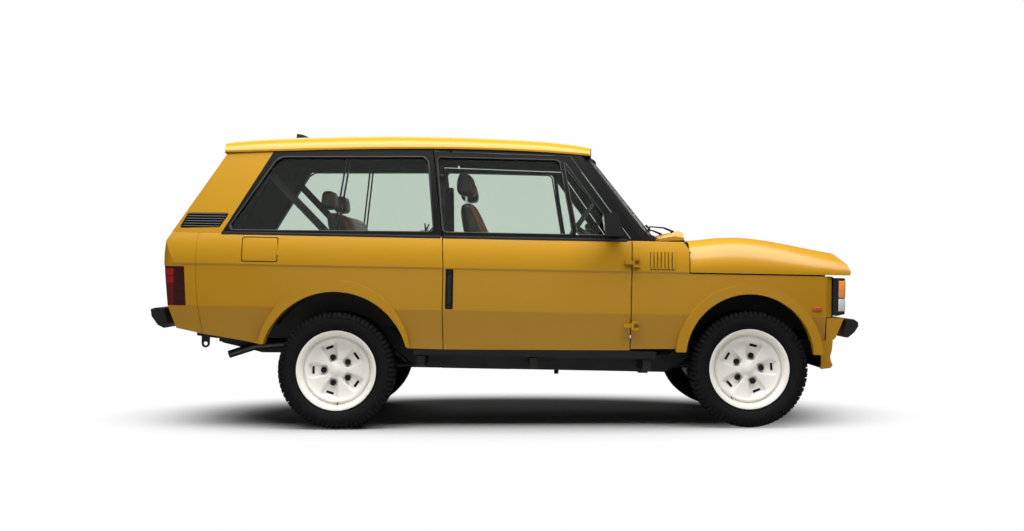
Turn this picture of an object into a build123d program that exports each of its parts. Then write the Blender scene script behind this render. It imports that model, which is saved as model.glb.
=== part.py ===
from build123d import *
import math
import os

os.makedirs("parts", exist_ok=True)

# A classic two-door SUV, modelled level and then leaned on its springs.
# X runs forwards from halfway between the axles, Y to the left, Z up from the ground.

# Wheels and stance
WHEELBASE = 2540
TRACK = 1486
TYRE_R = 362
TYRE_W = 255
TYRE_WALL = 16
RIM_SEAT_R = 229
RIM_FLANGE_R = 246
RIM_W = 222
RIM_WALL = 7
RAKE = 1.3
ORIGIN_SHIFT = 226
STEER_LIMIT = 30

# Body side: half widths at each level
BELT_Y = 846
CREASE_Y = 889
SIDE_Y = 885
SILL_Y = 834
GUTTER_Y = 708
TRIM_Y = 806
FRAME_T = 40
WAIST_Z = 1165
CREASE_Z = 978
LOWER_Z = 718
SILL_Z = 476
SILL_RISE = 16
ROOF_Z = 1718
REAR_TAPER = 22
FRONT_TAPER = 34
CORNER_R = 70

# Shut lines and gaps
GAP = 6
SEAT = 0.3
DOOR_REAR = -620
DOOR_FRONT = 531
BONNET_REAR = 891
NOSE = 1882
WING_FRONT = 1768
TAIL = -2351
TAILGATE_Y = 690

# Sheet and glass thickness
PANEL = 20
SKIN = 12
GLASS = 6

# Hinges
DOOR_PIN_X = 545
DOOR_PIN_Y = 899
PIN_R = 8
BONNET_PIN = (897, 1150)
BONNET_ARM_Y = 606
ARM_T = 10
BRACKET_T = 8
GATE_PIN = (-2040, 1660)
GATE_ARM_Y = 280
LOWER_PIN = (-2300, 735)
LOWER_LUG_Y = 420
FLAP_PIN_R = 2.6
FLAP_PIN_Y = 872
FLAP_LEAN = 0.226

LAMP_IN_Y = 745
HEADLAMP_R = 92

AXLE_Z = TYRE_R
HALF_BASE = WHEELBASE / 2
HALF_TRACK = TRACK / 2
DISH_BACK = 34
WHEEL_FACE = HALF_TRACK + DISH_BACK


def side_prism(points, y_from, y_to):
    """A block with a side-view outline, from one Y to another."""
    line = Polyline(*[(x, y_from, z) for x, z in points], close=True)
    return extrude(make_face(line), amount=y_to - y_from, dir=(0, 1, 0))


def front_prism(points, x_from, x_to):
    """A block with a front-view outline, from one X to another."""
    line = Polyline(*[(x_from, y, z) for y, z in points], close=True)
    return extrude(make_face(line), amount=x_to - x_from, dir=(1, 0, 0))


def plan_prism(points, z_from, z_to):
    """A block with a plan outline, from one Z to another."""
    line = Polyline(*[(x, y, z_from) for x, y in points], close=True)
    return extrude(make_face(line), amount=z_to - z_from, dir=(0, 0, 1))


def block(x_from, x_to, y_from, y_to, z_from, z_to):
    """A square block between three pairs of limits."""
    made = Box(x_to - x_from, y_to - y_from, z_to - z_from)
    return Pos((x_from + x_to) / 2, (y_from + y_to) / 2, (z_from + z_to) / 2) * made


def rod(start, end, radius):
    """A round bar from one point to another."""
    start, end = Vector(*start), Vector(*end)
    run = end - start
    return Plane(origin=start, z_dir=run) * Cylinder(radius, run.length, align=(Align.CENTER, Align.CENTER, Align.MIN))


def tube(start, end, outer, inner):
    """A round pipe from one point to another."""
    return rod(start, end, outer) - rod(start, end, inner)


def both_sides(piece):
    """The piece with its mirror image across the middle plane."""
    return piece + mirror(piece, Plane.XZ)


def rounded(points, radius, y_from, y_to):
    """A side-view block whose corners are rounded."""
    line = Polyline(*[(x, z) for x, z in points], close=True)
    face = make_face(line)
    face = fillet(face.vertices(), radius)
    placed = Plane(origin=(0, y_from, 0), x_dir=(1, 0, 0), z_dir=(0, -1, 0)) * face
    return extrude(placed, amount=y_to - y_from, dir=(0, 1, 0))


# Body side

def taper(x):
    """How far the body side has drawn in at this X."""
    back = max(0.0, (-1000 - x) / 1352) ** 2
    front = max(0.0, (x - 600) / 1250) ** 2
    return REAR_TAPER * back + FRONT_TAPER * front


def side_face(x, inner):
    """The left body side's section at one X, from its skin in to the given inner line."""
    t = taper(x)
    low = Polyline(
        (x, SILL_Y - t, 430), (x, SIDE_Y - t, LOWER_Z),
        (x, SIDE_Y - t, CREASE_Z - 12), (x, CREASE_Y - t, CREASE_Z),
    )
    middle_z = (CREASE_Z + WAIST_Z) / 2
    shoulder = ThreePointArc(
        (x, CREASE_Y - t, CREASE_Z), (x, (CREASE_Y + BELT_Y) / 2 + 9 - t, middle_z), (x, BELT_Y - t, WAIST_Z),
    )
    lean = (BELT_Y - GUTTER_Y) / (ROOF_Z - WAIST_Z)
    top = 1780
    high_y = BELT_Y - lean * (top - WAIST_Z) - t
    back = inner(x, t, lean, top)
    high = Polyline((x, BELT_Y - t, WAIST_Z), (x, high_y, top), *back, (x, SILL_Y - t, 430))
    return make_face([low, shoulder, high])


def deep_inner(x, t, lean, top):
    """The trim face of a door or quarter."""
    high_y = BELT_Y - lean * (top - WAIST_Z) - FRAME_T - t
    return [(x, high_y, top), (x, BELT_Y - FRAME_T - t, WAIST_Z), (x, BELT_Y - FRAME_T - t, 430)]


def thin_inner(x, t, lean, top, wall=PANEL):
    """The back of a single wing panel."""
    high_y = BELT_Y - lean * (top - WAIST_Z) - wall - t
    return [
        (x, high_y, top), (x, BELT_Y - wall - t, WAIST_Z), (x, SIDE_Y - wall - t, CREASE_Z),
        (x, SIDE_Y - wall - t, LOWER_Z), (x, SILL_Y - wall - t, 430),
    ]


def lid_inner(x, t, lean, top):
    """The back of a small flush lid."""
    return thin_inner(x, t, lean, top, SKIN)


def whole_inner(x, t, lean, top):
    """The middle plane, so that the section is the whole half body."""
    return [(x, 0, top), (x, 0, 430)]


def side_run(x_list, inner):
    """The left body side along the given stations."""
    if len(x_list) == 2 and taper(x_list[0]) == taper(x_list[1]):
        return extrude(side_face(x_list[0], inner), amount=x_list[1] - x_list[0], dir=(1, 0, 0))
    return loft([side_face(x, inner) for x in x_list])


DOOR_STATIONS = [-760, 560]
REAR_STATIONS = [-2400, -2100, -1800, -1400, -1000, -600]
WING_STATIONS = [500, 700, 1000, 1300, 1600, 1900]

SILL_LINE = [(-2257, 577), (-2105, 546), (-1858, 509), (-1754, 489), (DOOR_REAR, SILL_Z), (879, SILL_Z + 2 * SILL_RISE)]
TAIL_LINE = [(-2257, 577), (-2309, 717), (-2338, 957), (TAIL, 981), (-2329, 1111), (-2300, WAIST_Z)]
TAIL_TOP = (-1950, 1730)

DOOR_LINE = [
    (DOOR_FRONT, SILL_Z + SILL_RISE), (DOOR_FRONT, WAIST_Z), (508, 1200), (150, 1684),
    (-735, 1700), (-636, WAIST_Z), (DOOR_REAR, 1000), (DOOR_REAR, SILL_Z),
]
REAR_BEVEL = 0.2


def door_prism(grow):
    """The door's outline through the body side; its rear edge is cut back towards the cabin."""
    points = offset_line(DOOR_LINE, grow) if grow else DOOR_LINE
    faces = []
    for y in (SIDE_Y + 60, 600):
        shift = REAR_BEVEL * (SIDE_Y - y)
        line = [(x + (shift if x < -300 else 0), y, z) for x, z in points]
        faces.append(make_face(Polyline(*line, close=True)))
    return loft(faces, ruled=True)


def gutter_curve(y, lift=0.0):
    """The line of the roof gutter in side view."""
    points = [(-2011, 1672), (-1200, 1707), (-400, 1721), (286, 1694)]
    return Spline(*[(x, y, z + lift) for x, z in points])


def under_gutter(lift=0.0):
    """Everything below the gutter line."""
    curve = gutter_curve(-1000, lift)
    start, end = curve @ 0, curve @ 1
    rest = Polyline(
        (end.X, -1000, end.Z), (1100, -1000, end.Z - 45), (1100, -1000, 200),
        (-2600, -1000, 200), (-2600, -1000, start.Z - 20), (start.X, -1000, start.Z),
    )
    return extrude(make_face([curve, rest]), amount=2000, dir=(0, 1, 0))


def offset_line(points, amount):
    """A closed outline grown or shrunk by an amount."""
    face = make_face(Polyline(*points, close=True))
    grown = offset(face, amount, kind=Kind.INTERSECTION)
    return [(v.X, v.Y) for v in grown.face().outer_wire().vertices()]


def wheel_arch(x, z, radius, y_from, y_to):
    """The hole that a wheel arch cuts, with straight sides below its centre."""
    disc = rod((x, y_from, z), (x, y_to, z), radius)
    return disc + block(x - radius, x + radius, y_from, y_to, 200, z)


REAR_ARCH = (-HALF_BASE - 8, AXLE_Z + 2, 455)
FRONT_ARCH = (HALF_BASE - 6, AXLE_Z + 98, 392)


def arch_flare(arch, outer):
    """The raised lip round a wheel arch."""
    x, z, radius = arch
    outer_x, outer_z, outer_r = outer
    ring = rod((outer_x, 850, outer_z), (outer_x, 904, outer_z), outer_r)
    ring = ring & block(outer_x - 700, outer_x + 700, 840, 910, SILL_Z + 14, 1000)
    return ring - wheel_arch(x, z, radius, 800, 950)


def rear_limits():
    """The volume that the rear body fills in side view and plan."""
    side = side_prism(
        [(-500, 300), (-2300, 300)] + TAIL_LINE + [TAIL_TOP, (-1950, 1800), (-500, 1800)], -900, 900,
    )
    half = CREASE_Y + 20
    plan = block(TAIL - 20, -500, -half, half, 300, 1800)
    corner_x = TAIL + 4
    corner_y = CREASE_Y - REAR_TAPER
    for s in (1, -1):
        square = block(corner_x - 60, corner_x + CORNER_R, *sorted((s * (corner_y - CORNER_R), s * (corner_y + 60))), 200, 1900)
        pillar = rod((corner_x + CORNER_R, s * (corner_y - CORNER_R), 200), (corner_x + CORNER_R, s * (corner_y - CORNER_R), 1900), CORNER_R)
        plan = plan - (square - pillar)
    return side & plan


REAR_LIMITS = rear_limits()
UNDER_ROOF = under_gutter()
REAR_INNER_X = -2240
VENT_LINE = [(-2207, 1290), (-1950, 1292), (-2007, 1201), (-2257, 1193)]
VENT_DEEP = 6
SEAM_LINE = [(-2133, 1169), (-2143, 1095), (-2139, 850), (-2124, 710), (-2096, 545)]
SEAM_W = 3


def sunk(skin, cutter, depth):
    """The part of a cutter that lies above a given depth in the body's skin."""
    return cutter - Pos(0, -depth, 0) * skin


def rear_shell(skin):
    """The rear body behind the doors as one hollow shell, left half, before it is divided."""
    whole = skin & REAR_LIMITS
    hollow = side_run(REAR_STATIONS, deep_inner)
    inside = whole - hollow
    lean = [(-500, 300), (REAR_INNER_X, 300), (REAR_INNER_X, WAIST_Z), (-1905, 1710), (-1905, 1800), (-500, 1800)]
    inside = inside & side_prism(lean, -5, 900)
    return (whole - inside) & UNDER_ROOF


WINDOW_LINE = [(-1668, 1650), (-737, 1668), (-686, 1196), (-1966, 1184)]
PILLAR_EDGE = [(-1657, 1760), (-1995, WAIST_Z)]
BLACK_LINE = PILLAR_EDGE + [(-600, WAIST_Z), (-600, 1760)]
LAMP_LINE = [(-2380, 717), (-2380, 957), (-2211, 957), (-2196, 717)]
FLAP_LINE = [(-1855, 998), (-1855, 1141), (-1643, 1141), (-1643, 998)]


def quarter_window():
    return rounded(WINDOW_LINE, 30, 600, 950)


def body_sides(shell, skin):
    """The left quarter panel and the left tail lamp, cut from the rear shell."""
    lower = block(-2500, DOOR_REAR + 80, TAILGATE_Y + GAP, 950, 300, WAIST_Z)
    pillar = side_prism(PILLAR_EDGE + [(-2500, WAIST_Z), (-2500, 1760)], 400, 950)
    lean = (BELT_Y - GUTTER_Y) / (ROOF_Z - WAIST_Z)
    pillar_inner = front_prism(
        [(TAILGATE_Y + GAP, WAIST_Z), (TAILGATE_Y + GAP - lean * 635, 1800), (950, 1800), (950, WAIST_Z)], -2500, -1500,
    )
    pillar = pillar & pillar_inner
    panel = shell & (lower + pillar)
    sill = side_prism([(-2600, 200), (-2600, 577)] + SILL_LINE + [(879, 200)], 0, 1000)
    panel = panel - sill - door_prism(GAP)
    lamp_room = side_prism(LAMP_LINE, TAILGATE_Y + 30, 950)
    lamp = (shell & side_prism(LAMP_LINE, TAILGATE_Y + 30, 950)) - block(-2215, -2190, 600, 845, 600, 1000)
    panel = panel - lamp_room
    panel = panel - wheel_arch(*REAR_ARCH, 600, 950)
    panel = panel + (arch_flare(REAR_ARCH, (-HALF_BASE - 12, AXLE_Z + 60, 468)) - wheel_arch(*REAR_ARCH, 600, 950))
    seam = side_prism(SEAM_LINE + [(x + SEAM_W, z) for x, z in reversed(SEAM_LINE)], 600, 950)
    panel = panel - sunk(skin, seam, SEAM_W)
    panel = panel - sunk(skin, rounded(VENT_LINE, 10, 600, 950), VENT_DEEP)
    return panel, lamp


def frame_side(band):
    """Black pillar work on the left side: A pillar, cant rail and the ring round the side window."""
    ring = band & side_prism(BLACK_LINE, 500, 950) & UNDER_ROOF
    ring = ring - quarter_window()
    return ring - door_prism(GAP)


SCREEN_SLOPE = 0.826
SCREEN_BASE = (765, 1190)
SCREEN_R = 2070


def screen_sheet(thickness, setback, half=900):
    """The bowed sheet that the windscreen lies in."""
    front_x = SCREEN_BASE[0] - setback
    base = SCREEN_BASE[1] - 60
    x = front_x + 60 * SCREEN_SLOPE

    def bow(radius, y):
        return x - SCREEN_R + math.sqrt(radius ** 2 - y ** 2)

    outer = ThreePointArc((bow(SCREEN_R, half), -half, base), (x, 0, base), (bow(SCREEN_R, half), half, base))
    inner_r = SCREEN_R - thickness
    inner = ThreePointArc(
        (bow(inner_r, half), half, base), (x - thickness, 0, base), (bow(inner_r, half), -half, base),
    )
    ends = [
        Line((bow(SCREEN_R, half), half, base), (bow(inner_r, half), half, base)),
        Line((bow(inner_r, half), -half, base), (bow(SCREEN_R, half), -half, base)),
    ]
    rise = 640
    face = make_face([outer, inner] + ends)
    return extrude(face, amount=rise * math.hypot(1, SCREEN_SLOPE), dir=(-SCREEN_SLOPE, 0, 1))


def behind_screen():
    """Everything behind the outer face of the windscreen."""
    half = 900
    x = SCREEN_BASE[0] + 60 * SCREEN_SLOPE
    base = SCREEN_BASE[1] - 60
    side_x = x - SCREEN_R + math.sqrt(SCREEN_R ** 2 - half ** 2)
    bow = ThreePointArc((side_x, -half, base), (x, 0, base), (side_x, half, base))
    back = Polyline((side_x, half, base), (-1400, half, base), (-1400, -half, base), (side_x, -half, base))
    return extrude(make_face([bow, back]), amount=640 * math.hypot(1, SCREEN_SLOPE), dir=(-SCREEN_SLOPE, 0, 1))


SCREEN_LINE = [(-672, 1205), (672, 1205), (588, 1690), (-588, 1690)]


def screen_hole():
    line = Polyline(*[(y, z) for y, z in SCREEN_LINE], close=True)
    face = fillet(make_face(line).vertices(), 45)
    placed = Plane(origin=(0, 0, 0), x_dir=(0, 1, 0), z_dir=(1, 0, 0)) * face
    return extrude(placed, amount=1200, dir=(1, 0, 0))


def body_frame():
    """The black upper frame: screen surround, A pillars, cant rails and B posts."""
    band = loft([side_face(x, deep_inner) for x in (-2100, -1800, -1400, -1000, -600)])
    band = band + side_run([-600, 780], deep_inner)
    side = frame_side(band & block(-2100, 780, 500, 950, WAIST_Z, 1780))
    rear_part = side & side_prism([(-2100, WAIST_Z), (-2100, 1800), (-590, 1800), (-590, WAIST_Z)], 500, 950)
    pillar = behind_screen() & extrude(side_face(-590, deep_inner), amount=1400, dir=(1, 0, 0))
    pillar = pillar & block(-590, 800, 500, 950, WAIST_Z, 1780) & UNDER_ROOF
    pillar = pillar - door_prism(GAP)
    half = rear_part + pillar
    surround = screen_sheet(FRAME_T, 0)
    outer = extrude(side_face(-590, whole_inner), amount=1400, dir=(1, 0, 0)) & block(-590, 900, -5, 950, 1176, 1780)
    surround = surround & both_sides(outer) & UNDER_ROOF
    surround = surround - both_sides(door_prism(GAP))
    return (both_sides(half) + surround) - screen_hole()


def windscreen():
    glass = screen_sheet(GLASS, 8)
    return glass & screen_hole()


DIVIDER = [(84, 1720), (109, 1720), (197, 1150), (172, 1150)]
DOOR_WINDOW = [(-680, 1668), (82, 1664), (455, 1196), (-632, 1196)]


def door_left():
    """The left door: skin, trim face and the frame round its glass."""
    band = side_run(DOOR_STATIONS, deep_inner)
    door = band & door_prism(0)
    window = rounded(DOOR_WINDOW, 18, 500, 950)
    door = door - (window - side_prism(DIVIDER, 400, 1000))
    recess = rounded([(DOOR_REAR + 14, 726), (DOOR_REAR + 14, 970), (DOOR_REAR + 62, 970), (DOOR_REAR + 62, 726)], 8, 868, 950)
    door = door - recess
    handle = rounded([(DOOR_REAR + 20, 732), (DOOR_REAR + 20, 964), (DOOR_REAR + 54, 964), (DOOR_REAR + 54, 732)], 6, 867, 889)
    door = door + handle
    return door


HINGE_Z = (1033, 647)
HINGE_H = 12


def door_hinges():
    """The door's outside hinge leaves, with their barrels on the pin line."""
    made = []
    for z in HINGE_Z:
        leaf = block(DOOR_FRONT - 44, DOOR_FRONT - 2, 862, DOOR_PIN_Y + 4, z - HINGE_H, z + HINGE_H)
        arm = block(DOOR_FRONT - 12, DOOR_PIN_X, DOOR_PIN_Y - 4, DOOR_PIN_Y + 4, z - HINGE_H, z + HINGE_H)
        barrel = rod((DOOR_PIN_X, DOOR_PIN_Y, z - HINGE_H), (DOOR_PIN_X, DOOR_PIN_Y, z + HINGE_H), PIN_R)
        made.append(leaf + arm + barrel)
    return made[0] + made[1]


def wing_hinges():
    """The wing's halves of the hinges, above and below each door leaf."""
    made = None
    for z in HINGE_Z:
        for low, high in ((z - 28, z - HINGE_H - SEAT), (z + HINGE_H + SEAT, z + 28)):
            barrel = rod((DOOR_PIN_X, DOOR_PIN_Y, low), (DOOR_PIN_X, DOOR_PIN_Y, high), PIN_R)
            piece = barrel + block(DOOR_PIN_X, DOOR_PIN_X + 34, 862, DOOR_PIN_Y + 4, low, high)
            made = piece if made is None else made + piece
    return made


def door_glass():
    """The two panes in the left door."""
    lean = (BELT_Y - GUTTER_Y) / (ROOF_Z - WAIST_Z)
    y_low, z_low = BELT_Y - 16, WAIST_Z
    sheet = front_prism(
        [(y_low, z_low), (y_low - lean * 560, z_low + 560), (y_low - lean * 560 - GLASS, z_low + 560), (y_low - GLASS, z_low)],
        -760, 560,
    )
    window = rounded(DOOR_WINDOW, 18, 500, 950) - side_prism(DIVIDER, 400, 1000)
    return sheet & window


def side_glass():
    """The fixed glass behind each door."""
    lean = (BELT_Y - GUTTER_Y) / (ROOF_Z - WAIST_Z)
    faces = []
    for x in (-2100, -1800, -1400, -1000, -600):
        y_low = BELT_Y - 14 - taper(x)
        corner = [
            (x, y_low, WAIST_Z), (x, y_low - lean * 560, WAIST_Z + 560),
            (x, y_low - lean * 560 - GLASS, WAIST_Z + 560), (x, y_low - GLASS, WAIST_Z),
        ]
        faces.append(make_face(Polyline(*corner, close=True)))
    return both_sides(loft(faces) & quarter_window())


def mirror_left():
    head = rounded([(366, 1190), (345, 1323), (430, 1336), (475, 1192)], 14, 868, 1010)
    foot = rod((452, 822, 1225), (452, 872, 1238), 14)
    return head + foot


# Front wings, bonnet and nose

def wing_left():
    """The left front wing with its arch and the rise up to the screen."""
    run = side_run(WING_STATIONS, thin_inner)
    top = CREASE_Z - GAP - 2
    line = [
        (DOOR_FRONT + GAP, 300), (DOOR_FRONT + GAP, WAIST_Z), (850, WAIST_Z),
        (BONNET_REAR - GAP, 1120), (BONNET_REAR - GAP, top), (WING_FRONT - 36, top), (WING_FRONT - 36, 576), (1640, 576), (1640, 300),
    ]
    wing = run & side_prism(line, 500, 950)
    sill = side_prism([(-600, 200), (-600, 577)] + [(DOOR_REAR, SILL_Z), (879, SILL_Z + 2 * SILL_RISE), (1640, 520), (1640, 200)], 0, 1000)
    wing = wing - sill
    wing = wing - wheel_arch(*FRONT_ARCH, 500, 960)
    wing = wing + arch_flare(FRONT_ARCH, (HALF_BASE - 8, AXLE_Z + 101, 450))
    wing = wing + louvres(run) + bonnet_flange() + wing_edge(top)
    return wing + wing_hinges()


LOUVRES = 7
LOUVRE_W = 13
LOUVRE_OUT = 5


def louvres(run):
    """The upright ribs pressed out of the wing behind the bonnet."""
    proud = Pos(0, LOUVRE_OUT, 0) * run
    made = None
    for i in range(LOUVRES):
        x = 648 + i * (795 - LOUVRE_W - 648) / (LOUVRES - 1)
        rib = rounded([(x, 995), (x, 1107), (x + LOUVRE_W, 1107), (x + LOUVRE_W, 995)], LOUVRE_W / 2 - 0.5, 830, 950) & proud
        made = rib if made is None else made + rib
    return made


def bonnet_flange():
    """The wing's top flange, which stands behind the bonnet's lower edge."""
    faces = []
    for x in (860, 1150, 1450, WING_FRONT - 40):
        back = SIDE_Y - PANEL - taper(x)
        low, high = CREASE_Z - 52, CREASE_Z + 32
        line = [(back + 3, low), (back + 3, low + 18), (back - 7, low + 24), (back - 7, high), (back - 17, high), (back - 17, low)]
        faces.append(make_face(Polyline(*[(x, y, z) for y, z in line], close=True)))
    return loft(faces)


def wing_edge(top):
    """The chamfered front edge of the wing beside the lamps."""
    rear = WING_FRONT - 37
    y = SIDE_Y - taper(rear)
    line = [(rear, y - PANEL), (rear, y), (WING_FRONT, y - 18), (WING_FRONT, y - PANEL - 12)]
    return plan_prism(line, LOWER_Z + 2, top)


BONNET_TOP = [(860, 1168), (1000, 1182), (1216, 1194), (1465, 1166), (1684, 1127), (1802, 1107), (1960, 1080)]


def bonnet_face(x, z_top, drop):
    """The bonnet's section at one X, drawn in by a thickness."""
    t = taper(x) + drop
    edge_z = CREASE_Z - 10 if drop else CREASE_Z
    rise = z_top - drop - CREASE_Z
    points = [
        (0, z_top - 16 - drop), (500, z_top - 18 - drop), (600, z_top - drop), (735, z_top - 4 - drop),
        (BELT_Y - 42 - t, CREASE_Z + rise * 0.82), (BELT_Y + 22 - t, CREASE_Z + rise * 0.42), (CREASE_Y - t, CREASE_Z),
    ]
    left = [(x, y, z) for y, z in points]
    right = [(x, -y, z) for y, z in reversed(points[1:])]
    crown = Spline(*(right + left))
    base = Polyline((x, CREASE_Y - t, CREASE_Z), (x, CREASE_Y - t, edge_z - 20), (x, -CREASE_Y + t, edge_z - 20), (x, -CREASE_Y + t, CREASE_Z))
    return make_face([crown, base])


def bonnet():
    """The rear-hinged bonnet with its side drops and front lip."""
    outer = loft([bonnet_face(x, z, 0) for x, z in BONNET_TOP])
    inner = loft([bonnet_face(x, z, SKIN) for x, z in BONNET_TOP])
    line = [
        (BONNET_REAR, CREASE_Z), (BONNET_REAR, 1230), (1802, 1230), (1802, 1107), (NOSE - 16, 1045), (NOSE, 1000), (NOSE - 4, CREASE_Z),
    ]
    room = [(BONNET_REAR - 10, 900), (BONNET_REAR - 10, 1230), (1790, 1230), (1790, 1095), (NOSE - 34, 1040), (NOSE - 22, 900)]
    shape = outer & side_prism(line, -950, 950)
    shape = shape - (inner & side_prism(room, -950, 950))
    x, z = BONNET_PIN
    y = BONNET_ARM_Y
    arm = block(x - 4, x + 34, y, y + ARM_T, z, z + 16)
    barrel = rod((x, y - 6, z), (x, y + ARM_T + 6, z), PIN_R)
    return shape + both_sides(arm + barrel)


def grille():
    """The front panel with its lamp holes and the upright grille bars."""
    panel = block(1784, 1800, SEAT - LAMP_IN_Y, LAMP_IN_Y - SEAT, LOWER_Z - 2 + SEAT, 966)
    hole = block(1770, 1810, -470, 470, LOWER_Z + 28, 940)
    panel = panel - hole
    for s in (1, -1):
        panel = panel - rod((1770, s * 606, 845), (1810, s * 606, 845), HEADLAMP_R)
    for i in range(25):
        y = -456 + i * 38
        panel = panel + block(1776, 1800, y - 5, y + 5, LOWER_Z + 24, 944)
    for z in (800, 872):
        panel = panel + block(1786, 1796, -471, 471, z - 5, z + 5)
    return panel


def headlamps():
    bowl = rod((1730, 606, 845), (1812, 606, 845), HEADLAMP_R - SEAT)
    return both_sides(bowl)


def front_lamps():
    lamp = rounded([(1774, 730), (1774, 961), (1846, 961), (1848, 740), (1800, 728)], 6, LAMP_IN_Y, 852)
    return both_sides(lamp)


def front_apron():
    """The painted valance under the lamps and the deep apron below it."""
    line = [(1738, 575), (1738, LOWER_Z - 2), (1845, LOWER_Z - 2), (1795, 592), (1774, 575)]
    low = [(1705, 575.5), (1779, 575.5), (1779, 566), (1774, 512), (1765, 481), (1768, 457), (1781, 426), (1769, 408), (1712, 400)]
    valance = side_prism(line, -848, 848) - side_prism([(1700, 595), (1700, LOWER_Z - 14), (1815, LOWER_Z - 14), (1770, 595)], -836, 836)
    lip = side_prism(low, -848, 848) - side_prism([(1690, 590), (1760, 590), (1755, 470), (1750, 418), (1690, 380)], -820, 820)
    ends = block(1745 + SEAT, 1766, RAIL_Y[0] + 10, RAIL_Y[1] - 10, 500, 550)
    return valance + lip + both_sides(ends)


def front_bumper():
    line = [(1866, 709), (1903, 710), (1928, 692), (1929, 667), (1905, 630), (1868, 598), (1850, 598), (1852, 700)]
    bar = rounded(line, 3, -868, 868)
    bracket = [(1814.35 + SEAT, 640), (1830.5 + SEAT, 680), (1855, 680), (1855, 640)]
    return bar + both_sides(side_prism(bracket, 380, 440))


def rear_bumper():
    line = [(-2411, 690), (-2387, 699), (-2335, 700), (-2322, 660), (-2310, 600), (-2325, 575), (-2366, 595), (-2404, 647)]
    return rounded(line, 3, -868, 868) + both_sides(block(-2330, -2240, 400, 440, 600, 640))


# Roof and tail

ROOF_CROWN = [(-2120, 1750), (-1985, 1779), (-1667, 1809), (-1100, 1833), (-631, 1836), (-89, 1822), (182, 1797), (340, 1758)]


def gutter_z(x):
    """The gutter's height at one X, from a smooth hump over the doors."""
    points = [(-2011, 1672), (-1200, 1707), (-400, 1721), (286, 1694)]
    total = 0.0
    for i, (xi, zi) in enumerate(points):
        share = 1.0
        for j, (xj, zj) in enumerate(points):
            if i != j:
                share *= (x - xj) / (xi - xj)
        total += zi * share
    return total


def roof_face(x, z_top, drop):
    """The roof's section at one X, drawn in by a thickness."""
    t = taper(x)
    z_edge = gutter_z(x)
    rise = z_top - z_edge
    shape = [(0, 1.0), (450, 0.86), (600, 0.68), (672, 0.45), (700, 0.2)]
    left = [(x, y - t - drop * y / 700, z_edge + rise * k - drop) for y, k in shape]
    left.append((x, GUTTER_Y - t - drop, z_edge - 4))
    right = [(px, -py, pz) for px, py, pz in reversed(left)][:-1]
    left[0] = (x, 0, z_top - drop)
    crown = Spline(*(right + left))
    edge = GUTTER_Y - t - drop
    base = Polyline((x, edge, z_edge - 4), (x, edge, 1600), (x, -edge, 1600), (x, -edge, z_edge - 4))
    return make_face([crown, base])


def roof_panel():
    """The crowned roof with a drip rail along each side."""
    outer = loft([roof_face(x, z, 0) for x, z in ROOF_CROWN])
    inner = loft([roof_face(x, z, PANEL) for x, z in ROOF_CROWN])
    room = block(-2000, 262, -900, 900, 1500, 1900)
    shell = outer - (inner & room)
    front = ThreePointArc((268, -760, 1500), (312, 0, 1500), (268, 760, 1500))
    rear = Polyline((268, 760, 1500), (-2005, 760, 1500), (-2045, 300, 1500), (-2045, -300, 1500), (-2005, -760, 1500), (268, -760, 1500))
    plan = extrude(make_face([front, rear]), amount=500, dir=(0, 0, 1))
    shell = (shell & plan) - UNDER_ROOF
    rail = under_gutter(12) - UNDER_ROOF
    rail = rail & both_sides(block(-2005, 266, GUTTER_Y - 26, GUTTER_Y + 10, 1500, 1900))
    x, z = GATE_PIN
    lugs = None
    for y in (GATE_ARM_Y - ARM_T - SEAT - 10, GATE_ARM_Y + ARM_T + SEAT):
        lug = rod((x, y, z), (x, y + 10, z), 6) + block(x - 4, x + 6, y, y + 10, z, z + 24)
        lugs = lug if lugs is None else lugs + lug
    return shell + rail + both_sides(lugs)


def roof_fin():
    """The aerial's fin on the rear of the roof."""
    return rounded([(-1690, 1801), (-1674, 1822), (-1668, 1864), (-1627, 1858), (-1559, 1830), (-1530, 1801)], 3, -12, 12)


def tailgate_upper():
    """The glass frame, hinged along the roof."""
    lean = (BELT_Y - GUTTER_Y) / (ROOF_Z - WAIST_Z)
    line = [(-2296, WAIST_Z + GAP), (-1984, 1675), (-1944, 1675), (-2250, WAIST_Z + GAP)]
    slab = side_prism(line, -900, 900)
    view = front_prism(
        [(-TAILGATE_Y, WAIST_Z), (TAILGATE_Y, WAIST_Z), (TAILGATE_Y - lean * 535, 1700), (-TAILGATE_Y + lean * 535, 1700)],
        -2500, -1500,
    )
    frame = slab & view
    hole = front_prism(
        [(-TAILGATE_Y + 45, WAIST_Z + 45), (TAILGATE_Y - 45, WAIST_Z + 45), (TAILGATE_Y - 45 - lean * 460, 1640), (-TAILGATE_Y + 45 + lean * 460, 1640)],
        -2500, -1500,
    )
    x, z = GATE_PIN
    y = GATE_ARM_Y
    strap = block(x, x + 62, y - ARM_T, y + ARM_T, z - 5, z + 5) + rod((x, y - ARM_T, z), (x, y + ARM_T, z), 6)
    return (frame - hole) + both_sides(strap), hole


def tailgate_glass(hole):
    line = [(-2290, WAIST_Z + GAP), (-1978, 1675), (-1972, 1675), (-2284, WAIST_Z + GAP)]
    return side_prism(line, -900, 900) & hole


def tailgate_lower():
    """The drop-down lower gate."""
    line = [(-2309, LOWER_Z + 4), (-2338, 957), (TAIL, 981), (-2329, 1111), (-2304, WAIST_Z - 2), (-2292, WAIST_Z - 2), (-2248, WAIST_Z - 10), (-2248, LOWER_Z + 4)]
    gate = side_prism(line, -TAILGATE_Y, TAILGATE_Y)
    x, z = LOWER_PIN
    half = ARM_T + SEAT
    notch = block(x - 40, x + 24, LOWER_LUG_Y - half, LOWER_LUG_Y + half, z - 40, z + 24)
    return gate - both_sides(notch)


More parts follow.
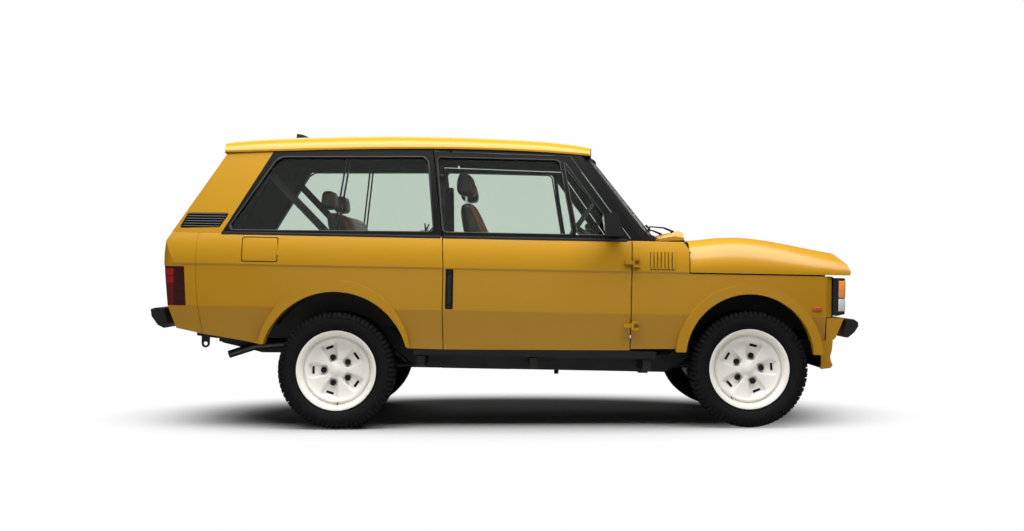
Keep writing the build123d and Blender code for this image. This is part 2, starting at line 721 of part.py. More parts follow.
def tail_panel():
    """The painted panel under the tailgate."""
    line = [(-2262, 590), (-2306, LOWER_Z - 4), (-2242, LOWER_Z - 4), (-2236, 590)]
    panel = side_prism(line, -TAILGATE_Y - GAP, TAILGATE_Y + GAP)
    x, z = LOWER_PIN
    low_y, high_y = LOWER_LUG_Y - ARM_T, LOWER_LUG_Y + ARM_T
    lug = block(x - 5, x + PIN_R, low_y, high_y, LOWER_Z - 12, z) + rod((x, low_y, z), (x, high_y, z), PIN_R)
    return panel + both_sides(lug)


def scuttle_panel():
    """The cowl between bonnet and screen, with the bulkhead below it."""
    cowl = side_prism([(705, 1168), (705, 1182), (800, 1200), (858, 1190), (858, 1176)], -820, 820)
    hump = side_prism([(705, 1168), (705, 1182), (800, 1222), (850, 1240), (878, 1228), (880, 1192), (858, 1176)], -700, 700)
    hump = hump & front_prism([(-650, 1150), (-590, 1250), (590, 1250), (650, 1150)], 700, 900)
    cowl = (cowl + hump) - screen_sheet(FRAME_T + 30, -20)
    bulkhead = block(705, 717, -800, 800, 560, 1170)
    x, z = BONNET_PIN
    y = BONNET_ARM_Y
    brackets = None
    for low in (y - 6 - SEAT - BRACKET_T, y + ARM_T + 6 + SEAT):
        bracket = block(716, x, low, low + BRACKET_T, z - 24, z - 4)
        bracket = bracket + rod((x, low, z), (x, low + BRACKET_T, z), 6) + block(x - 6, x + 6, low, low + BRACKET_T, z - 24, z)
        brackets = bracket if brackets is None else brackets + bracket
    return cowl + bulkhead + both_sides(brackets)


def inner_wings(wing):
    """The panels that close the engine bay over the front wheels."""
    wall = block(720, 1725, 402, 414, SPRING_TOP + 14 + SEAT, 930)
    shelf = block(720, 1725, 402, 850, 920, 932)
    return both_sides((wall + shelf) - wing)


# Frame, floor and running gear

RAIL_Y = (330, 400)
SPRING_Y = 470
SPRING_LOW = AXLE_Z + 50
SPRING_TOP = 610
REAR_SPRING_Y = (RAIL_Y[0] + RAIL_Y[1]) / 2
LEAN = math.radians(RAKE)
EYE_R = 13
EYE_T = 14
EYE_Y = 365
LASHING_EYES = [(-2180, 456), (1640, 434)]
PIPE_TOP = 375
PIPE_R = 25
PIPE_Y = -250
PIPE_END = (-2050, 380)
TAIL_SLOPE = 15 / 580


def rail_bottom(x):
    """The height of the rails' lower face behind the rear axle."""
    return 505 + (x + 1650) * TAIL_SLOPE


def frame_rails():
    """The two side rails, which kick up over the rear axle."""
    top = [(-2230, 590), (-1650, 600), (-1000, 600), (-780, 440), (820, 440), (980, 540), (1745, 560)]
    low = [(1745, 470), (980, 440), (800, 330), (-800, 330), (-1020, 505), (-1650, rail_bottom(-1650)), (-2097, rail_bottom(-2097)), (-2230, 509)]
    return both_sides(side_prism(top + low, *RAIL_Y))


CROSS_MEMBERS = [
    (-2220, 500, 580), (-1700, 520, 590), (-850, PIPE_TOP, 430), (-100, PIPE_TOP, 430), (640, 316, 349.7), (1680, 480, 550),
]


def cross_members():
    """The members that join the rails, each welded between their inner faces."""
    made = None
    for x, low, high in CROSS_MEMBERS:
        member = block(x, x + 60, -RAIL_Y[0], RAIL_Y[0], low, high)
        if low < 330:
            member = member + both_sides(block(x, x + 60, RAIL_Y[0] - 60, RAIL_Y[0], low, 400))
        made = member if made is None else made + member
    return made


def outriggers(rails):
    """The arms that carry the body, and the seats of the front springs."""
    made = None
    for x in (-780, -80, 620):
        arm = block(x, x + 50, RAIL_Y[1], 790, 360, 430)
        made = arm if made is None else made + arm
    seat_x = HALF_BASE - 70
    tower = block(seat_x, seat_x + 140, RAIL_Y[1] - 25, 540, SPRING_TOP + SEAT, SPRING_TOP + 14)
    tower = tower + (block(seat_x, seat_x + 140, RAIL_Y[1] - 25, RAIL_Y[1], 530, SPRING_TOP + 14) - rails)
    return both_sides(made + tower)


def lashing_eyes(rails):
    """The four eyes under the ends of the rails."""
    made = None
    for x, z in LASHING_EYES:
        lug = rod((x, EYE_Y - EYE_T / 2, z), (x, EYE_Y + EYE_T / 2, z), EYE_R + 13)
        lug = lug + block(x - EYE_R - 13, x + EYE_R + 13, EYE_Y - EYE_T / 2, EYE_Y + EYE_T / 2, z, z + 60)
        lug = (lug - rails) - rod((x, EYE_Y - 40, z), (x, EYE_Y + 40, z), EYE_R)
        lug = lug & block(x - 60, x + 60, 300, 400, z - 40, z + 50)
        made = lug if made is None else made + lug
    return both_sides(made)


def floor_pan():
    """Foot wells, sills, rear floor and wheel boxes."""
    floor = block(-560, 704, -795, 795, 470, 484)
    floor = floor + block(-574, -560, -795, 795, 470, 654)
    floor = floor + block(-2236, -560, -795, 795, 640, 654)
    for s in (1, -1):
        box = rod((REAR_ARCH[0], s * 560, REAR_ARCH[1]), (REAR_ARCH[0], s * 800, REAR_ARCH[1]), REAR_ARCH[2] + 12)
        floor = floor + (box & block(-1800, -700, *sorted((s * 560, s * 800)), 600, 900))
    for s in (1, -1):
        hole = rod((REAR_ARCH[0], s * 572, REAR_ARCH[1]), (REAR_ARCH[0], s * 900, REAR_ARCH[1]), REAR_ARCH[2])
        floor = floor - hole
    floor = floor + both_sides(block(-800, 700, 700, 795, 436, 470))
    return floor


SEAT_X = -330


def seat(x, y, width):
    """One seat: box, cushion, back and headrest."""
    low, high = y - width / 2, y + width / 2
    cushion = rounded([(x, 640), (x + 10, 780), (x + 480, 800), (x + 500, 660)], 34, low, high)
    back = rounded(
        [(x + 30, 700), (x - 170, 1150), (x - 220, 1400), (x - 120, 1412), (x - 20, 1196), (x + 130, 780)], 26, low, high,
    )
    rest = rounded(
        [(x - 239, 1452), (x - 228, 1588), (x - 183, 1599), (x - 131, 1571), (x - 103, 1461), (x - 112, 1430)], 14,
        y - 130, y + 130,
    )
    posts = block(x - 180, x - 166, y - 60, y - 48, 1380, 1460) + block(x - 180, x - 166, y + 48, y + 60, 1380, 1460)
    base = block(x + 30, x + 470, y - 200, y + 200, 484 + SEAT, 660)
    return cushion + back + rest + posts + base


def front_seats():
    return both_sides(seat(SEAT_X, 380, 500))


def rear_seat():
    cushion = rounded([(-1220, 654 + SEAT), (-1220, 800), (-700, 830), (-690, 700), (-700, 654 + SEAT)], 4, -540, 540)
    back = rounded([(-1250, 780), (-1420, 1330), (-1330, 1345), (-1240, 1300), (-1100, 790)], 24, -540, 540)
    rest = rounded([(-1450, 1338), (-1440, 1467), (-1350, 1467), (-1335, 1338)], 22, 210, 450)
    return cushion + back + both_sides(rest)


def dashboard():
    return rounded([(480, 960), (440, 1120), (560, 1170), (705 - SEAT, 1165), (705 - SEAT, 900), (600, 900)], 20, -790, 790)


def steering_wheel():
    centre = Vector(252, 380, 1276)
    slope = Vector(-0.832, 0, 0.556)
    tilt = Plane(origin=centre, z_dir=slope)
    made = tilt * Torus(190, 13) + tilt * Cylinder(40, 30)
    for a in (90, 210, 330):
        made = made + tilt * (Rot(0, 0, a) * Pos(105, 0, 0) * Box(160, 26, 10))
    return made + rod(centre, centre - slope * 286, 22)


GEARBOX_REAR = 130
DROP_FRONT = 330
DROP_Y = -180


def engine_gearbox():
    engine = block(800, 1420, -290, 290, 560, 980)
    sump = block(900, 1200, -150, 150, 500, 562)
    gearbox = block(GEARBOX_REAR, 802, -150, 150, 350, 462) + block(717 + SEAT, 802, -150, 150, 455, 600)
    transfer = block(GEARBOX_REAR, 420, -150, 110, 318, 400) + block(240, DROP_FRONT, DROP_Y - 35, -149, 352, 440)
    return engine + sump + gearbox + transfer


def fuel_tank():
    """The tank between the rails, hung from them by a flange on each side."""
    tank = rounded([(-2150, 480), (-2097, 453), (-1936, 418), (-1839, 394), (-1700, 396), (-1690, 480)], 12, -205, 310)
    low, high = -2096, -1890
    flange = [(low, 470), (low, rail_bottom(low) - SEAT), (high, rail_bottom(high) - SEAT), (high, 470)]
    return tank + side_prism(flange, 290, 350) + side_prism(flange, -350, -190)


def exhaust():
    """The exhaust pipe with its silencer, over the rear axle and out under the rear of the frame."""
    z = PIPE_TOP - SEAT - PIPE_R
    path = [(620, z), (-870, z), (-1020, 465), (-1600, 465), (-1880, 438), PIPE_END]
    pipe = None
    for (x0, z0), (x1, z1) in zip(path, path[1:]):
        run = rod((x0, PIPE_Y, z0), (x1, PIPE_Y, z1), PIPE_R)
        if (x1, z1) != PIPE_END:
            run = run + Pos(x1, PIPE_Y, z1) * Sphere(PIPE_R)
        pipe = run if pipe is None else pipe + run
    (x0, z0), (x1, z1) = path[-2:]
    near = 0.6
    bore = rod((x0 + (x1 - x0) * near, PIPE_Y, z0 + (z1 - z0) * near), (x1, PIPE_Y, z1), PIPE_R - 3)
    box = rod((-650, PIPE_Y + 40, z + 30), (-200, PIPE_Y + 40, z + 30), 65)
    return pipe + box - bore


def axle_centre(x):
    """Where an axle's centre lies beside the level body."""
    return x * math.cos(LEAN), AXLE_Z + x * math.sin(LEAN)


LINK_R = 17
FRONT_LINK_Y = 310


def suspension_arms(rails):
    """The links that hold each axle to the frame: radius arms in front, trailing links behind."""
    x, z = axle_centre(HALF_BASE)
    mount = CROSS_MEMBERS[4][0] + 60 + SEAT
    front = rod((mount - 20, FRONT_LINK_Y, 356), (x, FRONT_LINK_Y, z), LINK_R)
    front = front & block(mount, x, 280, 340, 200, 600)
    front = front - rod((x, 200, z), (x, 400, z), AXLE_TUBE_R + SEAT)
    x, z = axle_centre(-HALF_BASE)
    rear = rod((x, REAR_SPRING_Y, z), (-790, REAR_SPRING_Y, 345), LINK_R) - rails
    rear = rear & block(x, -700, 300, 430, 200, 600)
    rear = rear - rod((x, 200, z), (x, 500, z), AXLE_TUBE_R + SEAT)
    return both_sides(front + rear)


def propshafts():
    """The two propeller shafts from the transfer box to the axles."""
    x, z = axle_centre(-HALF_BASE)
    rear = rod((GEARBOX_REAR - SEAT, 0, 345), (x, 0, z), 26) - Pos(x, 0, z) * Sphere(REAR_DIFF_R + SEAT)
    x, z = axle_centre(HALF_BASE)
    front = rod((DROP_FRONT + SEAT, DROP_Y, 388), (x, DROP_Y, z), 20) - Pos(x, DROP_Y, z) * Sphere(FRONT_DIFF_R + SEAT)
    return rear + front


AXLE_TUBE_R = 42
FRONT_DIFF_R = 118
REAR_DIFF_R = 132


def axle_front():
    """The front axle: tube, differential and the swivel balls."""
    beam = rod((HALF_BASE, -590, AXLE_Z), (HALF_BASE, 590, AXLE_Z), AXLE_TUBE_R)
    beam = beam + Pos(HALF_BASE, DROP_Y, AXLE_Z) * Sphere(FRONT_DIFF_R)
    beam = beam + both_sides(block(HALF_BASE - 62, HALF_BASE + 62, 408, 532, AXLE_Z + 34, SPRING_LOW - SEAT))
    for s in (1, -1):
        beam = beam + Pos(HALF_BASE, s * KINGPIN_Y, AXLE_Z) * Sphere(SWIVEL_R)
    return beam


def axle_rear():
    beam = rod((-HALF_BASE, -HALF_TRACK + 25, AXLE_Z), (-HALF_BASE, HALF_TRACK - 25, AXLE_Z), AXLE_TUBE_R)
    beam = beam + Pos(-HALF_BASE, 0, AXLE_Z) * Sphere(REAR_DIFF_R)
    beam = beam + both_sides(block(-HALF_BASE - 62, -HALF_BASE + 62, 303, 427, AXLE_Z + 34, SPRING_LOW - SEAT))
    for s in (1, -1):
        beam = beam + rod((-HALF_BASE, s * (HALF_TRACK - 60), AXLE_Z), (-HALF_BASE, s * (WHEEL_FACE - SEAT), AXLE_Z), 70)
    return beam


KINGPIN_Y = 650
SWIVEL_R = 72
SWIVEL_GAP = 0.7
ARM_BACK = 165
ARM_Y = 596
ARM_Z = AXLE_Z - 60


def knuckle_left():
    """The swivel housing round the ball, with its hub and steering arm."""
    x, y, z = HALF_BASE, KINGPIN_Y, AXLE_Z
    shell = Pos(x, y, z) * Sphere(SWIVEL_R + SWIVEL_GAP + 16)
    hub = rod((x, y + 60, z), (x, WHEEL_FACE - SEAT, z), 62)
    arm = block(x - ARM_BACK, x - 60, ARM_Y - 14, ARM_Y + 14, ARM_Z - 10, ARM_Z + 10)
    arm = arm + block(x - 90, x - 40, ARM_Y - 14, ARM_Y + 60, ARM_Z - 10, ARM_Z + 10)
    arm = arm + rod((x - ARM_BACK, ARM_Y, ARM_Z - 10), (x - ARM_BACK, ARM_Y, ARM_Z + 10), 20)
    body = shell + hub + arm
    body = body - Pos(x, y, z) * Sphere(SWIVEL_R + SWIVEL_GAP)
    mouth = block(x - 120, x + 120, y - 160, y - 22, z - 120, z + 120)
    mouth = mouth - block(x - 300, x - 42, y - 160, y - 30, ARM_Z - 12, ARM_Z + 12)
    return body - mouth


def track_rod():
    x = HALF_BASE - ARM_BACK
    z = ARM_Z - 26
    bar = rod((x, -ARM_Y, z), (x, ARM_Y, z), 15)
    eyes = both_sides(rod((x, ARM_Y, z - 15), (x, ARM_Y, ARM_Z - 10.3), 20))
    return bar + eyes


def tyre(x, y):
    """A tyre as a hollow carcass on its bead seats."""
    half = TYRE_W / 2
    outer = [
        (RIM_SEAT_R, 96), (RIM_FLANGE_R + 2, 96), (RIM_FLANGE_R + 16, 118), (300, half), (TYRE_R - 20, half - 8), (TYRE_R, half - 34),
    ]
    inner = [(TYRE_R - 20, half - 46), (TYRE_R - 34, half - 22), (300, half - 14), (RIM_SEAT_R + 32, 98), (RIM_SEAT_R + 20, 78), (RIM_SEAT_R, 76)]
    right = [(r, w) for r, w in outer] + [(TYRE_R, -half + 34)] + [(r, -w) for r, w in reversed(outer[:-1])]
    back = [(r, -w) for r, w in reversed(inner)] + [(r, w) for r, w in inner]
    line = Polyline(*[(r, w, 0) for r, w in right + back], close=True)
    ring = revolve(make_face(line), Axis.Y)
    return Pos(x, y, AXLE_Z) * ring


POCKET_W = 43


def pocket_face(w, grow):
    """A rounded trapezoid across the wheel's dish, wider towards the rim."""
    line = [(-22 - grow, 58 - grow), (22 + grow, 58 - grow), (50 + grow, 168 + grow), (-50 - grow, 168 + grow)]
    face = make_face(Polyline(*line, close=True))
    face = fillet(face.vertices(), 16 + grow)
    return Plane(origin=(0, w, 0), x_dir=(1, 0, 0), z_dir=(0, -1, 0)) * face


def rim(x, y):
    """A pressed wheel: barrel, flanges and a slotted dish."""
    s = 1 if y > 0 else -1
    barrel = [
        (RIM_FLANGE_R, 111), (RIM_FLANGE_R, 97), (RIM_SEAT_R, 96), (RIM_SEAT_R, 74), (212, 60), (212, -60),
        (RIM_SEAT_R, -74), (RIM_SEAT_R, -96), (RIM_FLANGE_R, -97), (RIM_FLANGE_R, -111), (RIM_FLANGE_R - 12, -111),
        (RIM_SEAT_R - 8, -100), (RIM_SEAT_R - 8, -74), (204, -56), (204, 56), (RIM_SEAT_R - 8, 74), (RIM_SEAT_R - 8, 100), (RIM_FLANGE_R - 12, 111),
    ]
    line = Polyline(*[(r, w, 0) for r, w in barrel], close=True)
    made = revolve(make_face(line), Axis.Y)
    dish = [(0, 60), (33, 60), (36, 56), (150, 57), (182, 64), (196, 74), (206, 62), (206, 46), (180, 44), (150, DISH_BACK), (0, DISH_BACK)]
    face = revolve(make_face(Polyline(*[(r, w, 0) for r, w in dish], close=True)), Axis.Y)
    pocket = loft([pocket_face(POCKET_W, 0), pocket_face(POCKET_W + 30, 10)])
    for i in range(5):
        slot = Pos(0, 50, 147) * Box(48, 60, 16)
        face = face - Rot(0, 72 * i, 0) * (pocket + slot)
    made = made + face
    if s < 0:
        made = mirror(made, Plane.XZ)
    return Pos(x, y, AXLE_Z) * made


def springs():
    """The coil springs as plain sleeves between axle and frame."""
    made = None
    for x, y, top in ((HALF_BASE, SPRING_Y, SPRING_TOP), (-HALF_BASE, REAR_SPRING_Y, 505)):
        reach = AXLE_Z + (top - AXLE_Z) * math.cos(LEAN) - x * math.sin(LEAN) - 60 * math.sin(LEAN) - SEAT
        coil = both_sides(tube((x, y, SPRING_LOW), (x, y, reach), 60, 48))
        made = coil if made is None else made + coil
    return made


def fuel_flap_line(grow):
    x0, x1, z0, z1 = FLAP_LINE[0][0], FLAP_LINE[2][0], FLAP_LINE[0][1], FLAP_LINE[1][1]
    return [(x0 - grow, z0 - grow), (x0 - grow, z1 + grow), (x1 + grow, z1 + grow), (x1 + grow, z0 - grow)]


def flap_hinge(side, along, length):
    """One knuckle of the fuel flap's hinge, set in its front shut line."""
    low_z, high_z = FLAP_LINE[0][1], FLAP_LINE[1][1]
    line = Plane(origin=(FLAP_LINE[2][0] + GAP / 2, FLAP_PIN_Y, (low_z + high_z) / 2), x_dir=(1, 0, 0), z_dir=(0, -FLAP_LEAN, 1))
    knuckle = Pos(0, 0, along) * Cylinder(FLAP_PIN_R, length)
    leaf = Pos(side * 4.5, -1.5, along) * Box(9, 3, length)
    return line * (knuckle + leaf)


def settle(shape, rides=True):
    """Lean the sprung body, then move the shape to the vehicle's own origin."""
    if rides:
        shape = Pos(0, 0, AXLE_Z) * (Rot(0, RAKE, 0) * (Pos(0, 0, -AXLE_Z) * shape))
    return Pos(ORIGIN_SHIFT, 0, 0) * shape


NODES = {}


def keep(name, shape, rides=True):
    NODES[name] = (shape, rides)
    print(name, round(shape.volume / 1e6, 2), len(shape.solids()), flush=True)


def keep_pair(name, shape, rides=True):
    keep(name + "_left", shape, rides)
    keep(name + "_right", mirror(shape, Plane.XZ), rides)


rear_skin = side_run(REAR_STATIONS, whole_inner)
quarter, lamp = body_sides(rear_shell(rear_skin), rear_skin)
flap_room = rounded(fuel_flap_line(GAP), 14, 826, 950)
flap = rounded(fuel_flap_line(0), 12, 820, 950)
flap = (side_run(REAR_STATIONS, lid_inner) & flap) + flap_hinge(-1, 0, 36)
quarter_right = quarter - flap_room
for z in (-26 - SEAT, 26 + SEAT):
    quarter_right = quarter_right + flap_hinge(1, z, 16)
quarter_right = mirror(quarter_right, Plane.XZ)
keep("side_panel_left", quarter)
keep("side_panel_right", quarter_right)
keep("fuel_flap", mirror(flap, Plane.XZ))
keep("tail_lamps", both_sides(lamp))
keep("body_frame", body_frame())
keep("windscreen", windscreen())
keep("side_glass", side_glass())
roof = roof_panel()
keep("roof_panel", roof)
keep("roof_fin", roof_fin() - roof)
door = door_left() + door_hinges()
keep_pair("door", door)
keep_pair("door_glass", door_glass())
keep_pair("mirror", mirror_left() - door)
wing = wing_left()
keep_pair("front_wing", wing)
keep("bonnet", bonnet())
keep("grille", grille())
keep("headlamps", headlamps())
keep("front_lamps", front_lamps())
keep("front_apron", front_apron())
keep("front_bumper", front_bumper())
bumper_bar = rear_bumper()
keep("rear_bumper", bumper_bar)
upper, upper_hole = tailgate_upper()
keep("tailgate_upper", upper)
keep("tailgate_glass", tailgate_glass(upper_hole))
keep("tailgate_lower", tailgate_lower())
keep("tail_panel", tail_panel() - bumper_bar)
keep("scuttle_panel", scuttle_panel())
keep("inner_wings", inner_wings(wing))
rails = frame_rails()
keep("frame_rails", rails)
keep("cross_members", cross_members())
keep("outriggers", outriggers(rails))
keep("lashing_eyes", lashing_eyes(rails))
keep("floor_pan", floor_pan() - both_sides(quarter))
keep("front_seats", front_seats())
keep("rear_seat", rear_seat())
keep("dashboard", dashboard())
keep("steering_wheel", steering_wheel() - dashboard())
keep("engine_gearbox", engine_gearbox())
keep("fuel_tank", fuel_tank())
keep("exhaust", exhaust())
keep("suspension_arms", suspension_arms(rails))
keep("propshafts", propshafts())
keep("springs", springs(), False)
keep("front_axle", axle_front(), False)
keep("rear_axle", axle_rear(), False)
keep_pair("knuckle", knuckle_left(), False)
keep("track_rod", track_rod(), False)
for end, x in (("front", HALF_BASE), ("rear", -HALF_BASE)):
    for side, y in (("left", HALF_TRACK), ("right", -HALF_TRACK)):
        keep(f"tyre_{end}_{side}", tyre(x, y), False)
        keep(f"rim_{end}_{side}", rim(x, y), False)

for name, (shape, rides) in NODES.items():
    export_step(settle(shape, rides), f"parts/{name}.step")
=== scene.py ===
import math

import bmesh
import bpy
from mathutils import Matrix, Vector


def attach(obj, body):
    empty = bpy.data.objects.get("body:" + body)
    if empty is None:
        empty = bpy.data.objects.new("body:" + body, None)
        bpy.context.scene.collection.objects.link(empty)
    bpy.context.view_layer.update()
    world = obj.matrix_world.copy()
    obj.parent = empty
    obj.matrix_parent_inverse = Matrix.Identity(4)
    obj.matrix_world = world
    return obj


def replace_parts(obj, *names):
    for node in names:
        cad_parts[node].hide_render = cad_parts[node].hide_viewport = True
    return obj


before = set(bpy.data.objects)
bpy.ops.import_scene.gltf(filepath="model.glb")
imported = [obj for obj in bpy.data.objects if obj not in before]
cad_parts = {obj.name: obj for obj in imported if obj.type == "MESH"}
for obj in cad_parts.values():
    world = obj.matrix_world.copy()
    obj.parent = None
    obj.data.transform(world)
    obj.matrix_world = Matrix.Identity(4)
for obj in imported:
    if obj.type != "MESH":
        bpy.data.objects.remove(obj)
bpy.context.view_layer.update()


# The studio: a pale floor that runs out to white, a wide soft box over the car and two weaker ones.
# Paper is matt and even, so the floor only shows the soft shadow under the car.

def linear(code):
    """A web colour as the shader's linear colour."""
    parts = [int(code[i:i + 2], 16) / 255 for i in (1, 3, 5)]
    return [p / 12.92 if p <= 0.04045 else ((p + 0.055) / 1.055) ** 2.4 for p in parts] + [1.0]


def add(tree, kind, links=(), **settings):
    """Adds a node with its settings, and its inputs as values or links."""
    made = tree.nodes.new("ShaderNode" + kind)
    for key, value in settings.items():
        setattr(made, key, value)
    for key, value in dict(links).items():
        if isinstance(value, bpy.types.NodeSocket):
            tree.links.new(value, made.inputs[key])
        else:
            made.inputs[key].default_value = value
    return made


def start_material(name):
    """A new material, with its tree, its shader and the object's own coordinates."""
    material = bpy.data.materials.new(name)
    material.use_nodes = True
    tree = material.node_tree
    return material, tree, tree.nodes["Principled BSDF"], add(tree, "TexCoord").outputs["Object"]


def mottle(tree, shader, place, scale, dark, light, detail=3.0):
    """Lets the base colour drift between two tones, and returns the noise that does it."""
    cloud = add(tree, "TexNoise", {"Vector": place, "Scale": scale, "Detail": detail})
    tone = add(tree, "ValToRGB", {"Fac": cloud.outputs["Fac"]})
    tone.color_ramp.elements[0].color = linear(dark)
    tone.color_ramp.elements[1].color = linear(light)
    tree.links.new(tone.outputs["Color"], shader.inputs["Base Color"])
    return cloud


def emboss(tree, shader, height, depth, strength=0.5, socket="Normal"):
    """Turns a height into the bump of the surface or of its clear coat."""
    relief = add(tree, "Bump", {"Height": height, "Strength": strength, "Distance": depth})
    tree.links.new(relief.outputs["Normal"], shader.inputs[socket])


def looked_at(tree):
    """One for what the camera sees, straight on or through glass, and nought for lighting."""
    seen = add(tree, "LightPath")
    both = {0: seen.outputs["Is Camera Ray"], 1: seen.outputs["Is Transmission Ray"]}
    return add(tree, "Math", both, operation="MAXIMUM").outputs[0]


paper, tree, shader, place = start_material("matt_backdrop_paper")
shader.inputs["Base Color"].default_value = linear("#a6a6a6")
shader.inputs["Roughness"].default_value = 0.9
shader.inputs["Specular IOR Level"].default_value = 0.0
flat = add(tree, "Mapping", {"Vector": place, "Scale": (0.21, 0.36, 1.0)})
far = add(tree, "VectorMath", {0: flat.outputs[0]}, operation="LENGTH")
fade = add(
    tree, "MapRange", {"Value": far.outputs["Value"], "From Min": 0.33, "From Max": 0.6},
    interpolation_type="SMOOTHSTEP",
)
white = add(tree, "Emission", {"Color": linear("#ffffff"), "Strength": 1.0})
share = add(tree, "Math", {0: fade.outputs["Result"], 1: looked_at(tree)}, operation="MULTIPLY")
mixed = add(tree, "MixShader", {0: share.outputs[0], 1: shader.outputs[0], 2: white.outputs[0]})
tree.links.new(mixed.outputs[0], tree.nodes["Material Output"].inputs["Surface"])

bm = bmesh.new()
bmesh.ops.create_grid(bm, x_segments=1, y_segments=1, size=60)
floor_mesh = bpy.data.meshes.new("studio_floor")
bm.to_mesh(floor_mesh)
bm.free()
floor_mesh.materials.append(paper)
studio_floor = bpy.data.objects.new("studio_floor", floor_mesh)
bpy.context.scene.collection.objects.link(studio_floor)

world = bpy.data.worlds.new("studio_air")
world.use_nodes = True
bpy.context.scene.world = world
tree = world.node_tree
strength = add(tree, "MapRange", {"Value": looked_at(tree), "To Min": 0.07, "To Max": 1.0})
tree.links.new(strength.outputs["Result"], tree.nodes["Background"].inputs["Strength"])
tree.nodes["Background"].inputs["Color"].default_value = linear("#ffffff")


def soft_box(name, spot, target, size, power):
    """A rectangular studio light that faces its target."""
    lamp = bpy.data.lights.new(name, "AREA")
    lamp.shape = "RECTANGLE"
    lamp.size, lamp.size_y = size
    lamp.energy = power
    thing = bpy.data.objects.new(name, lamp)
    bpy.context.scene.collection.objects.link(thing)
    thing.location = spot
    thing.rotation_euler = (Vector(target) - Vector(spot)).to_track_quat("-Z", "Y").to_euler()


soft_box("roof_soft_box", (0.0, -1.5, 4.6), (0.0, 0.0, 0.0), (7.5, 3.6), 670)
soft_box("camera_side_soft_box", (0.5, -10.5, 1.2), (0.0, 0.0, 0.3), (8.0, 1.6), 32)
soft_box("far_side_soft_box", (-1.5, 7.0, 4.2), (0.0, 0.0, 0.9), (6.0, 2.0), 60)

# The camera stands level, square to the right side, about nine metres off.
camera = bpy.data.cameras.new("camera")
camera.sensor_width = 36
camera.lens = 47.5
camera.shift_x = 0.0049
camera.shift_y = 0.0015
camera_stand = bpy.data.objects.new("camera", camera)
camera_stand.location = (0.009, -9.15, 0.995)
camera_stand.rotation_euler = (math.radians(90), math.radians(0.2), 0)
bpy.context.scene.collection.objects.link(camera_stand)
bpy.context.scene.camera = camera_stand
bpy.context.scene.view_settings.view_transform = "Standard"


# Underneath: a welded box-section ladder frame, painted axles and wax-sprayed arches.
# Chassis black is a thick semi-gloss paint, dulled unevenly by a film of road dust.

RAKE = math.radians(1.3)
AXLE_UP = 0.362
AXLE_AT = {"front": 1.27, "rear": -1.27}
TRACK_HALF = 0.743
MID_AHEAD = 0.226
SHIFT = Matrix.Translation((MID_AHEAD, 0, 0))
TO_AXLES = Matrix.Translation((0, 0, AXLE_UP))
LEVEL = SHIFT @ TO_AXLES @ Matrix.Rotation(RAKE, 4, "Y") @ TO_AXLES.inverted()
LEVEL_BACK = LEVEL.inverted()


def dress(material, *names):
    """Gives CAD nodes one material."""
    for name in names:
        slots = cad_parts[name].data.materials
        slots.clear()
        slots.append(material)


def zones(name, materials, rule):
    """Gives a CAD node several materials, by each face's centre and normal in the level body."""
    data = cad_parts[name].data
    data.materials.clear()
    for material in materials:
        data.materials.append(material)
    for face in data.polygons:
        face.material_index = rule(LEVEL_BACK @ face.center, face.normal)


def slab(bm, low, high, soften=0.0, turn=None):
    """A block between two corners with eased edges, turned about its own middle where asked."""
    made = bmesh.ops.create_cube(bm, size=1.0)["verts"]
    bmesh.ops.scale(bm, vec=[b - a for a, b in zip(low, high)], verts=made)
    if turn is not None:
        bmesh.ops.rotate(bm, cent=(0, 0, 0), matrix=turn, verts=made)
    bmesh.ops.translate(bm, vec=[(a + b) / 2 for a, b in zip(low, high)], verts=made)
    if soften:
        edges = list({edge for vert in made for edge in vert.link_edges})
        bmesh.ops.bevel(bm, geom=edges, offset=soften, segments=2, profile=0.5, affect="EDGES", material=-1)


def twin_slabs(bm, low, high, soften=0.0):
    """The same block on the left and on the right side."""
    slab(bm, low, high, soften)
    slab(bm, (low[0], -high[1], low[2]), (high[0], -low[1], high[2]), soften)


def post(bm, start, end, radius, far_radius=None, sides=20, soften=0.0):
    """A round or tapered bar between two points, with eased rims."""
    start, end = Vector(start), Vector(end)
    run = end - start
    far = radius if far_radius is None else far_radius
    made = bmesh.ops.create_cone(
        bm, cap_ends=True, segments=sides, radius1=radius, radius2=far, depth=run.length,
    )["verts"]
    place = Matrix.Translation((start + end) / 2) @ run.to_track_quat("Z", "Y").to_matrix().to_4x4()
    bmesh.ops.transform(bm, matrix=place, verts=made)
    if soften:
        faces = {face for vert in made for face in vert.link_faces if len(face.verts) == sides}
        edges = list({edge for face in faces for edge in face.edges})
        bmesh.ops.bevel(bm, geom=edges, offset=soften, segments=2, profile=0.5, affect="EDGES", material=-1)


def spun(bm, profile, steps=64):
    """Spins a profile of radius and height about the Z axis, and returns its points."""
    before = set(bm.verts)
    line = [bm.verts.new((radius, 0, height)) for radius, height in profile]
    edges = [bm.edges.new(pair) for pair in zip(line, line[1:])]
    bmesh.ops.spin(
        bm, geom=line + edges, cent=(0, 0, 0), axis=(0, 0, 1), angle=math.tau, steps=steps, use_merge=True,
    )
    return [vert for vert in bm.verts if vert not in before]


def piece(name, bm, body, *materials, place=LEVEL, smooth=38):
    """Closes a mesh, sets it in the car's frame and hangs it on its body."""
    bmesh.ops.remove_doubles(bm, verts=bm.verts, dist=0.00002)
    bmesh.ops.recalc_face_normals(bm, faces=bm.faces)
    bmesh.ops.transform(bm, matrix=place, verts=bm.verts)
    for face in bm.faces:
        face.smooth = True
    data = bpy.data.meshes.new(name)
    bm.to_mesh(data)
    bm.free()
    data.set_sharp_from_angle(angle=math.radians(smooth))
    for material in materials:
        data.materials.append(material)
    thing = bpy.data.objects.new(name, data)
    bpy.context.scene.collection.objects.link(thing)
    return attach(thing, body)


